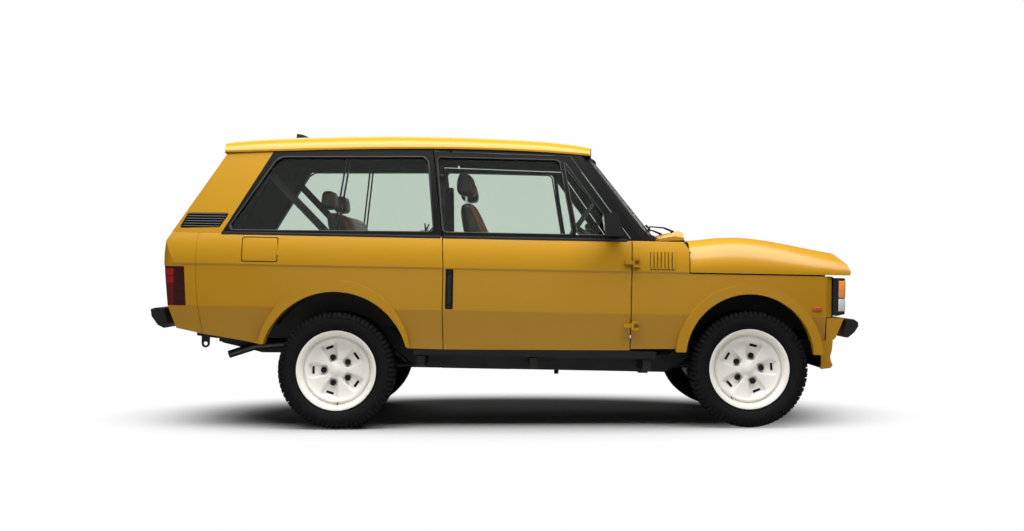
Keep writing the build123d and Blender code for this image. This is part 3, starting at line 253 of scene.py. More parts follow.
def bead(name, body, material, runs, radius, closed=False, place=LEVEL):
    """A round bead of rubber, wire or pipe along each run of points."""
    line = bpy.data.curves.new(name, "CURVE")
    line.dimensions = "3D"
    line.bevel_depth = radius
    line.bevel_resolution = 3
    line.use_fill_caps = True
    for run in runs:
        spline = line.splines.new("POLY")
        spline.points.add(len(run) - 1)
        for point, spot in zip(spline.points, run):
            point.co = (*(place @ Vector(spot)), 1)
        spline.use_cyclic_u = closed
    line.materials.append(material)
    thing = bpy.data.objects.new(name, line)
    bpy.context.scene.collection.objects.link(thing)
    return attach(thing, body)


chassis_black, tree, shader, place = start_material("chassis_black_paint")
dust = mottle(tree, shader, place, 7.0, "#0c0c0d", "#1d1c1b", 6.0)
rough = add(tree, "MapRange", {"Value": dust.outputs["Fac"], "To Min": 0.4, "To Max": 0.75})
tree.links.new(rough.outputs["Result"], shader.inputs["Roughness"])
pits = add(tree, "TexNoise", {"Vector": place, "Scale": 180.0, "Detail": 2.0})
emboss(tree, shader, pits.outputs["Fac"], 0.001, 0.3)

cast_iron, tree, shader, place = start_material("sand_cast_iron")
sand = add(tree, "TexNoise", {"Vector": place, "Scale": 260.0, "Detail": 3.0})
emboss(tree, shader, sand.outputs["Fac"], 0.0012, 0.6)
mottle(tree, shader, place, 9.0, "#201f1e", "#2e2c2a")
shader.inputs["Metallic"].default_value = 0.6
shader.inputs["Roughness"].default_value = 0.6

pipe_steel, tree, shader, place = start_material("aluminised_steel_pipe")
mottle(tree, shader, place, 5.0, "#4b4641", "#6d6963", 4.0)
shader.inputs["Metallic"].default_value = 0.9
shader.inputs["Roughness"].default_value = 0.45

dress(chassis_black, "frame_rails", "cross_members", "outriggers", "lashing_eyes", "front_axle", "rear_axle")
dress(chassis_black, "inner_wings", "fuel_tank", "track_rod", "suspension_arms", "propshafts")
dress(cast_iron, "engine_gearbox", "knuckle_left", "knuckle_right")
dress(pipe_steel, "exhaust")

# Coil springs, wound from 13 mm bar, stand between the axle pads and their seats on the frame.
# They stand for the plain sleeves, with the dampers beside them.
COIL_BAR = 0.0065
COIL_R = 0.053
COIL_FOOT = 0.4122
STEPS_A_TURN = 24
FLAT_STEPS = 18
coils = []
for x, y, high, turns in ((AXLE_AT["front"], 0.47, 0.578, 5), (AXLE_AT["rear"], 0.365, 0.53, 4)):
    rise = high - COIL_FOOT - 2 * COIL_BAR
    steps = turns * STEPS_A_TURN
    for s in (1, -1):
        coil = []
        for i in range(steps + 1):
            turn = math.tau * i / STEPS_A_TURN
            share = min(max((i - FLAT_STEPS) / (steps - 2 * FLAT_STEPS), 0), 1)
            z = COIL_FOOT + COIL_BAR + rise * share
            coil.append((x + COIL_R * math.cos(turn), s * y + COIL_R * math.sin(turn), z))
        coils.append(coil)
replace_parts(bead("coil_springs", "chassis", chassis_black, coils, COIL_BAR, place=SHIFT), "springs")

bm = bmesh.new()
for s in (1, -1):
    post(bm, (1.17, s * 0.45, 0.37), (1.15, s * 0.47, 0.52), 0.032, soften=0.004)
    post(bm, (1.15, s * 0.47, 0.5), (1.145, s * 0.475, 0.6), 0.011)
    post(bm, (-1.19, s * 0.5, 0.34), (-1.13, s * 0.49, 0.5), 0.032, soften=0.004)
    post(bm, (-1.13, s * 0.49, 0.5), (-1.11, s * 0.485, 0.6), 0.011)
piece("dampers", bm, "chassis", chassis_black, place=SHIFT)

# Diffs carry bolted covers, and each end of a propeller shaft a round flange.
bm = bmesh.new()
COVER_BOLTS = 10
for x, y, radius, face in ((AXLE_AT["front"], -0.18, 0.1, 1), (AXLE_AT["rear"], 0.0, 0.112, -1)):
    for i in range(COVER_BOLTS):
        turn = math.tau * i / COVER_BOLTS
        spot = (x + face * 0.062, y + radius * math.cos(turn), AXLE_UP + radius * math.sin(turn))
        post(bm, spot, (spot[0] + face * 0.014, spot[1], spot[2]), 0.009, sides=6)
    inner, outer = (x + face * 0.05, y, AXLE_UP), (x + face * 0.066, y, AXLE_UP)
    post(bm, inner, outer, radius + 0.012, sides=40, soften=0.003)
for start, end in (((-1.16, 0, 0.356), (-1.12, 0, 0.356)), ((0.1, 0, 0.326), (0.128, 0, 0.326))):
    post(bm, start, end, 0.055, sides=24, soften=0.003)
for start, end in (
    ((1.125, -0.18, 0.365), (1.16, -0.18, 0.363)), ((0.332, -0.18, 0.38), (0.36, -0.18, 0.379)),
):
    post(bm, start, end, 0.045, sides=24, soften=0.003)
piece("axle_covers_and_flanges", bm, "chassis", chassis_black, place=SHIFT)


# Body panels: pressed steel and aluminium, welded or bolted to the shell and sprayed in solid enamel.
# Two-pack enamel is even in colour, with a clear gloss that ripples a little, like the skin of an orange.

enamel, tree, shader, place = start_material("two_pack_enamel")
mottle(tree, shader, place, 1.6, "#a97b14", "#ae8018", 2.0)
shader.inputs["Roughness"].default_value = 0.34
shader.inputs["Specular IOR Level"].default_value = 0.25
shader.inputs["Coat Weight"].default_value = 0.22
shader.inputs["Coat Roughness"].default_value = 0.1
peel = add(tree, "TexNoise", {"Vector": place, "Scale": 90.0, "Detail": 1.0})
emboss(tree, shader, peel.outputs["Fac"], 0.001, 0.05, "Coat Normal")

black_enamel, tree, shader, place = start_material("satin_black_enamel")
mottle(tree, shader, place, 3.0, "#070707", "#0c0c0c", 2.0)
shader.inputs["Roughness"].default_value = 0.3
shader.inputs["Specular IOR Level"].default_value = 0.3

lining, tree, shader, place = start_material("black_trim_board")
grain = add(tree, "TexVoronoi", {"Vector": place, "Scale": 420.0}, feature="F1")
emboss(tree, shader, grain.outputs["Distance"], 0.0006, 0.4)
mottle(tree, shader, place, 6.0, "#0b0a09", "#11100e")
shader.inputs["Roughness"].default_value = 0.62

headlining, tree, shader, place = start_material("foam_backed_headlining")
weave = add(tree, "TexNoise", {"Vector": place, "Scale": 500.0, "Detail": 1.0})
emboss(tree, shader, weave.outputs["Fac"], 0.0005)
mottle(tree, shader, place, 4.0, "#0d0c0b", "#131210")
shader.inputs["Roughness"].default_value = 0.95

rubber_trim, tree, shader, place = start_material("extruded_epdm_rubber")
mottle(tree, shader, place, 16.0, "#0c0c0c", "#161616")
shader.inputs["Roughness"].default_value = 0.55

WAIST = 1.165
SHOULDER = 0.978
CREASE = 0.718
VENT = [(-2.207, 1.29), (-1.95, 1.292), (-2.007, 1.201), (-2.257, 1.193)]


def taper(x):
    """How far the body side has drawn in at this X."""
    return 0.022 * max(0, (-1.0 - x) / 1.352) ** 2 + 0.034 * max(0, (x - 0.6) / 1.25) ** 2


def skin(x, z):
    """The half width of the body's skin: it leans in over the waist and tucks in under the crease."""
    if z > WAIST:
        y = 0.846 - 0.2495 * (z - WAIST)
    elif z > SHOULDER:
        share = (z - SHOULDER) / (WAIST - SHOULDER)
        y = 0.889 - 0.043 * share + 0.036 * share * (1 - share)
    elif z > CREASE:
        y = 0.885
    else:
        y = 0.834 + 0.051 * (z - 0.43) / 0.288
    return y - taper(x)


def in_outline(x, z, outline):
    """Whether a side-view point lies in a convex outline given clockwise."""
    pairs = zip(outline, outline[1:] + outline[:1])
    return all((bx - ax) * (z - az) <= (bz - az) * (x - ax) + 1e-6 for (ax, az), (bx, bz) in pairs)


def drawn_in(bm, cuts):
    """Bends straight runs to the body's plan, which draws in towards both ends."""
    for x in cuts:
        whole = bm.verts[:] + bm.edges[:] + bm.faces[:]
        bmesh.ops.bisect_plane(bm, geom=whole, plane_co=(x, 0, 0), plane_no=(1, 0, 0))
    for vert in bm.verts:
        vert.co.y -= math.copysign(taper(vert.co.x), vert.co.y)


for side, s in (("left", 1), ("right", -1)):
    def door_zone(centre, normal, s=s):
        if centre.z > WAIST - 0.003:
            return 1
        if -0.608 < centre.x < -0.556 and 0.724 < centre.z < 0.972 and abs(centre.y) > 0.86:
            return 1
        return 2 if normal.y * s < -0.5 and abs(centre.y) < 0.83 else 0

    zones(f"door_{side}", [enamel, black_enamel, lining], door_zone)

    def quarter_zone(centre, normal, s=s):
        sunk = skin(centre.x, centre.z) - abs(centre.y) > 0.003
        if sunk and normal.y * s > 0.3 and in_outline(centre.x, centre.z, VENT):
            return 2
        return 1 if normal.y * s < -0.35 and centre.z > 0.5 else 0

    zones(f"side_panel_{side}", [enamel, lining, black_enamel], quarter_zone)
    dress(enamel, f"front_wing_{side}")

zones("roof_panel", [enamel, headlining], lambda centre, normal: 1 if normal.z < -0.3 else 0)
dress(enamel, "bonnet", "scuttle_panel", "fuel_flap", "tail_panel")
zones("tailgate_lower", [enamel, lining], lambda centre, normal: 1 if normal.x > 0.7 else 0)
dress(black_enamel, "body_frame", "tailgate_upper")
zones(
    "front_apron", [enamel, chassis_black],
    lambda centre, normal: 1 if normal.x < -0.5 and abs(centre.y) < 0.83 else 0,
)

# Each rear pillar's air outlet is a pressed steel frame with slats across it.
bm = bmesh.new()
for s in (1, -1):
    for i in range(6):
        z = 1.203 + i * 0.0155
        share = (z - 1.197) / 0.094
        low_x, high_x = -2.249 + 0.048 * share, -2.013 + 0.056 * share
        y = s * (skin(-2.1, z) + taper(-2.1) - 0.0035)
        lean = Matrix.Rotation(s * 0.5, 3, "X")
        slab(bm, (low_x, y - 0.0025, z), (high_x, y + 0.0025, z + 0.007), 0.001, lean)
drawn_in(bm, (-2.2, -2.1, -2.0))
piece("air_outlet_slats", bm, "chassis", black_enamel)

# Waist rails: an extruded rubber strip caps the door skin and the quarter panel under the glass.
WAIST_Y = 0.8445
RAIL_HALF = 0.0055
for side, s in (("left", 1), ("right", -1)):
    bm = bmesh.new()
    slab(bm, (-0.632, s * WAIST_Y - RAIL_HALF, 1.157), (0.506, s * WAIST_Y + RAIL_HALF, 1.175), 0.003)
    piece(f"door_waist_rubber_{side}", bm, f"door_{side}", rubber_trim)
bm = bmesh.new()
for s in (1, -1):
    slab(bm, (-1.993, s * WAIST_Y - RAIL_HALF, 1.157), (-0.644, s * WAIST_Y + RAIL_HALF, 1.175), 0.003)
drawn_in(bm, (-1.8, -1.6, -1.4, -1.2, -1.0))
piece("quarter_waist_rubbers", bm, "chassis", rubber_trim)

# Glazing rubbers run round every pane, and rubber channels edge the two halves of the sliding rear glass.


def pane(corners, inset, round_by=0.03):
    """The outline of a pane in the left side, in the body's leaning side plane, with cut corners."""
    points = []
    count = len(corners)
    for i, (x, z) in enumerate(corners):
        for j in (i - 1, (i + 1) % count):
            run = Vector(corners[j]) - Vector((x, z))
            spot = Vector((x, z)) + run.normalized() * round_by
            points.append((spot.x, skin(spot.x, spot.y) - inset, spot.y))
    return points


REAR_PANE = [(-1.668, 1.65), (-0.737, 1.668), (-0.686, 1.196), (-1.966, 1.184)]
DOOR_PANE = [(-0.68, 1.668), (0.082, 1.664), (0.172, 1.196), (-0.632, 1.196)]
QUARTER_LIGHT = [(0.109, 1.66), (0.455, 1.196), (0.198, 1.196)]
for side, s in (("left", 1), ("right", -1)):
    outlines = [pane(corners, 0.004, 0.018) for corners in (DOOR_PANE, QUARTER_LIGHT)]
    runs = [[(x, s * y, z) for x, y, z in outline] for outline in outlines]
    bead(f"door_glass_rubber_{side}", f"door_{side}", rubber_trim, runs, 0.005, closed=True)
runs = [[(x, s * y, z) for x, y, z in pane(REAR_PANE, 0.003)] for s in (1, -1)]
bead("rear_glass_rubbers", "chassis", rubber_trim, runs, 0.006, closed=True)

SCREEN = [(0.672, 1.205), (0.588, 1.69), (-0.588, 1.69), (-0.672, 1.205)]
SCREEN_BOW = 2.07


def screen_x(y, z):
    """The bowed windscreen's outer face."""
    return 0.8146 - SCREEN_BOW + math.sqrt(SCREEN_BOW ** 2 - y * y) - 0.826 * (z - 1.13)


screen_run = []
for i, (y, z) in enumerate(SCREEN):
    next_y, next_z = SCREEN[(i + 1) % 4]
    steps = 12 if abs(next_y - y) > 0.5 else 4
    start = 0.045 / math.hypot(next_y - y, next_z - z)
    for j in range(steps + 1):
        share = start + (1 - 2 * start) * j / steps
        spot_y, spot_z = y + (next_y - y) * share, z + (next_z - z) * share
        screen_run.append((screen_x(spot_y, spot_z) - 0.004, spot_y, spot_z))
bead("windscreen_rubber", "chassis", rubber_trim, [screen_run], 0.008, closed=True)

GATE_PANE = [(0.645, 1.21), (0.53, 1.64), (-0.53, 1.64), (-0.645, 1.21)]
gate_run = [(-2.29 + (z - 1.171) * 0.619, y, z) for y, z in GATE_PANE]
bead("tailgate_glass_rubber", "tailgate_upper", rubber_trim, [gate_run], 0.008, closed=True)

bm = bmesh.new()
for s in (1, -1):
    for x_low, x_high in ((-1.277, -1.22), (-1.3, -1.243)):
        steps = 6
        for i in range(steps):
            low, high = i / steps, (i + 1) / steps
            za, zb = 1.19 + 0.47 * low, 1.19 + 0.47 * high
            xa, xb = x_low + (x_high - x_low) * low, x_low + (x_high - x_low) * high
            ends = [(x, s * (skin(x, z) - 0.022), z) for x, z in ((xa, za), (xb, zb))]
            post(bm, *ends, 0.006, sides=6)
piece("sliding_glass_edges", bm, "chassis", rubber_trim)

# Behind the shut lines sit hollow rubber seals, which keep daylight out of the gaps.
seal_runs = []
for s in (1, -1):
    seal_runs.append([(0.889, s * (skin(0.889, z) - 0.036), z) for z in (0.93, 0.99, 1.03, 1.07, 1.1)])
    seal_runs.append([(x, s * (skin(x, 0.973) - 0.034), 0.973) for x in (0.87, 1.1, 1.3, 1.5, 1.7)])
bead("bonnet_side_seals", "chassis", rubber_trim, seal_runs, 0.013)
bm = bmesh.new()
slab(bm, (0.846, -0.8, 1.128), (0.866, 0.8, 1.178), 0.005)
piece("bonnet_rear_seal", bm, "chassis", rubber_trim)


# Lamps: moulded acrylic lenses, ribbed on the back, clipped into black housings.

red_lens, tree, shader, place = start_material("moulded_red_acrylic")
parts = add(tree, "SeparateXYZ", {"Vector": place})
height = add(tree, "MapRange", {"Value": parts.outputs["Z"], "From Min": 0.765, "From Max": 1.01})
band = add(tree, "ValToRGB", {"Fac": height.outputs[0]})
band.color_ramp.interpolation = "CONSTANT"
band.color_ramp.elements[0].color = linear("#5a0a0c")
band.color_ramp.elements[1].color = linear("#8c1410")
band.color_ramp.elements[1].position = 0.58
for spot, code in ((0.74, "#5a090a"), (0.77, "#96170f"), (0.94, "#260405")):
    band.color_ramp.elements.new(spot).color = linear(code)
inner = add(tree, "MapRange", {"Value": parts.outputs["X"], "From Min": -2.045, "From Max": -2.03})
shade = add(
    tree, "Mix", {0: inner.outputs[0], 6: band.outputs["Color"], 7: linear("#300506")}, data_type="RGBA",
)
tree.links.new(shade.outputs[2], shader.inputs["Base Color"])
ribs = add(tree, "TexWave", {"Vector": place, "Scale": 60.0}, bands_direction="Z")
emboss(tree, shader, ribs.outputs["Fac"], 0.0008, 0.35)
shader.inputs["Roughness"].default_value = 0.16
shader.inputs["Coat Weight"].default_value = 0.8
shader.inputs["Coat Roughness"].default_value = 0.02
dress(red_lens, "tail_lamps")

moulding, tree, shader, place = start_material("grained_black_plastic")
grain = add(tree, "TexVoronoi", {"Vector": place, "Scale": 300.0})
emboss(tree, shader, grain.outputs["Distance"], 0.0006, 0.3)
mottle(tree, shader, place, 5.0, "#0a0a0a", "#101010")
shader.inputs["Roughness"].default_value = 0.42


def lens_material(name, dark, light, scale):
    """A clear-coated moulded lens, ribbed from the inside."""
    material, tree, shader, place = start_material(name)
    mottle(tree, shader, place, 22.0, dark, light)
    ribs = add(tree, "TexWave", {"Vector": place, "Scale": scale}, bands_direction="Z")
    emboss(tree, shader, ribs.outputs["Fac"], 0.001, 0.4)
    shader.inputs["Roughness"].default_value = 0.14
    shader.inputs["Coat Weight"].default_value = 0.7
    shader.inputs["Coat Roughness"].default_value = 0.03
    return material


amber_lens = lens_material("moulded_amber_acrylic", "#d9722a", "#f0a052", 55.0)
clear_lens = lens_material("moulded_clear_acrylic", "#b9bbb8", "#d6d7d3", 55.0)
marker_lens = lens_material("smoked_amber_acrylic", "#a5380f", "#c9541c", 90.0)
dress(moulding, "front_lamps", "grille", "mirror_left", "mirror_right", "roof_fin")
dress(moulding, "front_bumper", "rear_bumper")

for name, material, low, high in (
    ("front_indicator_lenses", amber_lens, 0.839, 0.946),
    ("front_side_lamp_lenses", clear_lens, 0.756, 0.835),
):
    bm = bmesh.new()
    twin_slabs(bm, (1.807, 0.753, low), (1.8505, 0.8545, high), 0.005)
    piece(name, bm, "chassis", material)

bm = bmesh.new()
marker_y = skin(1.673, 0.767)
twin_slabs(bm, (1.644, marker_y - 0.004, 0.757), (1.704, marker_y + 0.006, 0.779), 0.003)
piece("side_marker_lamps", bm, "chassis", marker_lens)

# Headlamps are sealed round units: a plated bowl behind a domed, ribbed glass, held by a black ring.
mirror_plate, tree, shader, place = start_material("vacuum_plated_aluminium")
mottle(tree, shader, place, 30.0, "#c9cbcc", "#e2e3e3")
shader.inputs["Metallic"].default_value = 1.0
shader.inputs["Roughness"].default_value = 0.12
lamp_glass, tree, shader, place = start_material("pressed_headlamp_glass")
ribs = add(tree, "TexWave", {"Vector": place, "Scale": 28.0}, bands_direction="Y")
emboss(tree, shader, ribs.outputs["Fac"], 0.0015)
shader.inputs["Base Color"].default_value = linear("#f2f4f2")
shader.inputs["Roughness"].default_value = 0.02
shader.inputs["IOR"].default_value = 1.5
shader.inputs["Transmission Weight"].default_value = 1.0

FORWARD = Matrix.Rotation(math.radians(90), 4, "Y")
GLASS_R = 0.0825
BOWL = [
    (0, -0.068), (0.04, -0.066), (0.075, -0.04), (0.0912, -0.012), (0.0912, 0.01), (0.084, 0.011),
    (0.083, 0.002), (0.07, -0.036), (0, -0.062),
]
bowls, reflectors, glasses = bmesh.new(), bmesh.new(), bmesh.new()
for s in (1, -1):
    spot = Matrix.Translation((1.8, s * 0.606, 0.845)) @ FORWARD
    shell = spun(bowls, BOWL)
    bmesh.ops.transform(bowls, matrix=spot, verts=shell)
    curve = [(GLASS_R * i / 10, -0.052 + 0.05 * (i / 10) ** 2) for i in range(11)]
    back = [(r, h - 0.002) for r, h in reversed(curve)]
    shell = spun(reflectors, curve + back)
    shell += spun(reflectors, [(0, -0.02), (0.008, -0.022), (0.01, -0.03), (0.01, -0.05), (0, -0.051)], 16)
    bmesh.ops.transform(reflectors, matrix=spot, verts=shell)
    dome = [(GLASS_R * i / 10, 0.0115 - 0.011 * (i / 10) ** 2) for i in range(11)]
    under = [(r, h - 0.004) for r, h in reversed(dome)]
    shell = spun(glasses, dome + under)
    bmesh.ops.transform(glasses, matrix=spot, verts=shell)
rings = piece("headlamp_bowls", bowls, "chassis", moulding)
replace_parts(rings, "headlamps")
piece("headlamp_reflectors", reflectors, "chassis", mirror_plate)
piece("headlamp_glasses", glasses, "chassis", lamp_glass)

# The radiator stands behind the grille: a brass core of thin fins between two tanks, painted black.
bm = bmesh.new()
slab(bm, (1.735, -0.42, 0.735), (1.77, 0.42, 0.76), 0.006)
slab(bm, (1.735, -0.42, 0.91), (1.77, 0.42, 0.94), 0.006)
slab(bm, (1.748, -0.41, 0.755), (1.752, 0.41, 0.915))
FINS = 68
for i in range(FINS):
    y = -0.402 + i * 0.012
    slab(bm, (1.74, y - 0.0016, 0.76), (1.764, y + 0.0016, 0.91))
twin_slabs(bm, (1.732, 0.41, 0.728), (1.772, 0.45, 0.945), 0.004)
piece("radiator", bm, "chassis", chassis_black)

# Towing rings hang under the front of the frame, forged and painted black.
bm = bmesh.new()
RING_R = 0.026
RING_BAR = 0.007
UPRIGHT = Matrix.Rotation(math.radians(90), 4, "X")
for s in (1, -1):
    turns = [math.tau * i / 10 for i in range(11)]
    ring = spun(bm, [(RING_R + RING_BAR * math.cos(turn), RING_BAR * math.sin(turn)) for turn in turns], 28)
    bmesh.ops.transform(bm, matrix=Matrix.Translation((1.79, s * 0.365, 0.52)) @ UPRIGHT, verts=ring)
twin_slabs(bm, (1.74, 0.357, 0.505), (1.77, 0.373, 0.538))
piece("towing_rings", bm, "chassis", chassis_black)


# Door furniture: cast mirror housings with silvered glass, and paddle handles in the recesses.
silvered, tree, shader, place = start_material("silvered_mirror_glass")
mottle(tree, shader, place, 12.0, "#b9bdbf", "#c9cccd")
shader.inputs["Metallic"].default_value = 1.0
shader.inputs["Roughness"].default_value = 0.03
for side, s in (("left", 1), ("right", -1)):
    bm = bmesh.new()
    y_low, y_high = sorted((s * 0.88, s * 0.998))
    slab(bm, (0.3535, y_low, 1.207), (0.3565, y_high, 1.31), 0.001, Matrix.Rotation(math.radians(-9), 3, "Y"))
    piece(f"mirror_glass_{side}", bm, f"door_{side}", silvered)
    bm = bmesh.new()
    for z in (0.955, 0.741):
        post(bm, (-0.583, s * 0.885, z), (-0.583, s * 0.8905, z), 0.006, sides=16, soften=0.001)
    y_low, y_high = sorted((s * 0.884, s * 0.8895))
    slab(bm, (-0.593, y_low, 0.76), (-0.572, y_high, 0.935), 0.002)
    piece(f"door_handle_{side}", bm, f"door_{side}", moulding)

# Wipers park low on the glass: a spindle through the cowl, a sprung arm and a rubber blade in its frame.
wiper_frame, wiper_rubber = bmesh.new(), bmesh.new()
for y in (-0.5, 0.16):
    post(wiper_frame, (0.822, y, 1.205), (0.822, y, 1.243), 0.013, 0.01, sides=20, soften=0.002)
    post(wiper_frame, (0.822, y, 1.238), (0.775, y + 0.07, 1.262), 0.0075, 0.006, sides=12)
    tip_y, tip_z = y + 0.2, 1.272
    tip_x = screen_x(tip_y, tip_z) + 0.026
    post(wiper_frame, (0.775, y + 0.07, 1.262), (tip_x, tip_y, tip_z), 0.005, 0.004, sides=10)
    for i in range(9):
        low_y, high_y = y - 0.03 + i * 0.05, y - 0.03 + (i + 1) * 0.05
        z = 1.238 + 0.006 * i
        ends = [(screen_x(at, z) + 0.012, at, z) for at in (low_y, high_y)]
        post(wiper_frame, *ends, 0.0045, sides=8)
        ends = [(screen_x(at, z) + 0.005, at, z - 0.004) for at in (low_y, high_y)]
        post(wiper_rubber, *ends, 0.0035, sides=6)
    holder = (screen_x(tip_y, 1.262) + 0.012, tip_y, 1.262)
    post(wiper_frame, (tip_x, tip_y, tip_z), holder, 0.0045, sides=8)
# A short spindle for the rear wiper stands at the tailgate.
post(wiper_frame, (-2.262, 0.03, 1.2), (-2.285, 0.03, 1.208), 0.014, 0.011, soften=0.002)
piece("wiper_arms", wiper_frame, "chassis", black_enamel)
piece("wiper_blades", wiper_rubber, "chassis", rubber_trim)


# Tyres: a moulded carcass with ribbed walls, and blocks of tread that wrap over the shoulders.
# Rubber is near black with a dry bloom, and the blocks' faces catch a little more light.

rubber, tree, shader, place = start_material("vulcanised_tyre_rubber")
bloom = mottle(tree, shader, place, 26.0, "#070708", "#101010", 5.0)
rough = add(tree, "MapRange", {"Value": bloom.outputs["Fac"], "To Min": 0.7, "To Max": 0.9})
tree.links.new(rough.outputs["Result"], shader.inputs["Roughness"])
shader.inputs["Specular IOR Level"].default_value = 0.2
emboss(tree, shader, bloom.outputs["Fac"], 0.0008, 0.3)

ivory, tree, shader, place = start_material("ivory_wheel_enamel")
mottle(tree, shader, place, 12.0, "#f3f0e6", "#f8f6ee")
shader.inputs["Roughness"].default_value = 0.38
nut_black, tree, shader, place = start_material("black_oxide_steel")
mottle(tree, shader, place, 60.0, "#0a0a0a", "#141312")
shader.inputs["Metallic"].default_value = 0.5
shader.inputs["Roughness"].default_value = 0.4

CARCASS = [
    (0.2296, 0.0765), (0.2296, 0.0945), (0.2475, 0.0985), (0.2535, 0.107), (0.2585, 0.1115), (0.2605, 0.1105),
    (0.2625, 0.1135), (0.272, 0.119), (0.2735, 0.1175), (0.276, 0.1215), (0.288, 0.1252), (0.299, 0.1268),
    (0.3, 0.1258), (0.302, 0.1258), (0.303, 0.1268), (0.315, 0.1262), (0.329, 0.1225), (0.34, 0.1135),
    (0.3475, 0.098), (0.351, 0.07), (0.352, 0.0),
]
LINING = [
    (0.337, 0.0), (0.335, 0.075), (0.324, 0.1), (0.3, 0.1125), (0.262, 0.099), (0.248, 0.08),
    (0.2296, 0.0765),
]
PITCHES = 36
WHEEL_TURN = {"front": 14, "rear": -18}


def tread_pitch(bm):
    """One pitch of tread at the top of the tyre, with Z out from the hub and Y across."""
    for side in (1, -1):
        skew = Matrix.Rotation(math.radians(-14 * side), 3, "Z")
        for start, end, across, half, foot, top in (
            (-0.0235, -0.0025, 0.0215, 0.0165, 0.348, 0.3606),
            (0.0005, 0.0205, 0.0215, 0.0165, 0.348, 0.3606),
            (0.006, 0.0265, 0.0615, 0.0175, 0.347, 0.3603),
            (-0.0185, 0.003, 0.0605, 0.0165, 0.347, 0.3603),
        ):
            slab(bm, (start, side * across - half, foot), (end, side * across + half, top), 0.0012, skew)
        for start, width, foot in ((-0.0285, 0.0235, 0.318), (0.0015, 0.0215, 0.327)):
            lug = [
                (0.0845, 0.3595), (0.108, 0.3572), (0.1205, 0.347), (0.1272, 0.3315), (0.1274, foot),
                (0.12, foot), (0.1, 0.342), (0.084, 0.346),
            ]
            rim = [bm.verts.new((start, side * y, z)) for y, z in lug]
            face = bm.faces.new(rim)
            pushed = bmesh.ops.extrude_face_region(bm, geom=[face])["geom"]
            verts = [item for item in pushed if isinstance(item, bmesh.types.BMVert)]
            bmesh.ops.translate(bm, vec=(width, 0, 0), verts=verts)


def mirrored(profile):
    """A profile mirrored across the wheel, from its last point but one back to its first."""
    return [(radius, -across) for radius, across in reversed(profile[:-1])]


WHOLE_TYRE = CARCASS + mirrored(CARCASS) + mirrored(LINING) + LINING
DISC = [
    (0.088, -0.006), (0.14, -0.006), (0.141, -0.005), (0.141, 0.005), (0.14, 0.006), (0.088, 0.006),
    (0.088, -0.006),
]
BELL = [
    (0.064, 0.02), (0.088, 0.012), (0.089, -0.006), (0.085, -0.006), (0.084, 0.008), (0.064, 0.015),
    (0.064, 0.02),
]
SHIELD = [
    (0.07, -0.022), (0.175, -0.022), (0.186, -0.016), (0.187, -0.018), (0.176, -0.0245), (0.07, -0.0245),
    (0.07, -0.022),
]
NUTS = 5
NUT_CIRCLE = 0.08255
VALVE_ANGLE = math.radians(107)
TO_ACROSS = Matrix.Rotation(math.radians(-90), 4, "X")
for end, x in AXLE_AT.items():
    for side, s in (("left", 1), ("right", -1)):
        centre = Matrix.Translation((x, s * TRACK_HALF, AXLE_UP))
        hub = centre @ Matrix.Rotation(math.radians(WHEEL_TURN[end]), 4, "Y")
        face_out = hub if s > 0 else hub @ Matrix.Rotation(math.pi, 4, "Z")
        bm = bmesh.new()
        spun(bm, WHOLE_TYRE, 120)
        bmesh.ops.transform(bm, matrix=TO_ACROSS, verts=bm.verts)
        tread = bmesh.new()
        tread_pitch(tread)
        bmesh.ops.spin(
            tread, geom=tread.verts[:] + tread.edges[:] + tread.faces[:], cent=(0, 0, 0), axis=(0, 1, 0),
            angle=math.tau * (PITCHES - 1) / PITCHES, steps=PITCHES - 1, use_duplicate=True,
        )
        tread_mesh = bpy.data.meshes.new("tread")
        tread.to_mesh(tread_mesh)
        tread.free()
        bm.from_mesh(tread_mesh)
        bpy.data.meshes.remove(tread_mesh)
        wheel = f"wheel_{end}_{side}"
        tyre = piece(f"treaded_tyre_{end}_{side}", bm, wheel, rubber, place=SHIFT @ hub, smooth=30)
        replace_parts(tyre, f"tyre_{end}_{side}")

        # The rim is the CAD's own dish, turned with its tyre so that the pockets take the nuts.
        bm = bmesh.new()
        bm.from_mesh(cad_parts[f"rim_{end}_{side}"].data)
        rim_turn = SHIFT @ hub @ (SHIFT @ centre).inverted()
        rim = piece(f"painted_rim_{end}_{side}", bm, wheel, ivory, place=rim_turn, smooth=30)
        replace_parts(rim, f"rim_{end}_{side}")

        # Five nuts clamp each wheel, and a rubber valve stands in the well.
        bm = bmesh.new()
        for i in range(NUTS):
            turn = math.radians(90 + 360 / NUTS * i)
            x_nut, z_nut = NUT_CIRCLE * math.cos(turn), NUT_CIRCLE * math.sin(turn)
            post(bm, (x_nut, 0.0425, z_nut), (x_nut, 0.0575, z_nut), 0.0195, 0.0175, sides=24, soften=0.003)
        foot = (-0.2 * math.cos(VALVE_ANGLE), 0.062, -0.2 * math.sin(VALVE_ANGLE))
        tip = (-0.2 * math.cos(VALVE_ANGLE), 0.098, -0.212 * math.sin(VALVE_ANGLE))
        post(bm, foot, tip, 0.004, 0.003, sides=12, soften=0.001)
        piece(f"wheel_nuts_{end}_{side}", bm, wheel, nut_black, place=SHIFT @ face_out)

        # A cast disc turns with each wheel, inside the dish, and a pressed shield stands behind it.
        bm = bmesh.new()
        spun(bm, DISC, 72)
        spun(bm, BELL, 72)
        bmesh.ops.transform(bm, matrix=Matrix.Translation((0, -0.005, 0)) @ TO_ACROSS, verts=bm.verts)
        piece(f"brake_disc_{end}_{side}", bm, wheel, cast_iron, place=SHIFT @ face_out)
        bm = bmesh.new()
        spun(bm, SHIELD, 72)
        bmesh.ops.transform(bm, matrix=TO_ACROSS, verts=bm.verts)
        held_by = f"knuckle_{side}" if end == "front" else "chassis"
        piece(f"brake_shield_{end}_{side}", bm, held_by, chassis_black, place=SHIFT @ face_out)


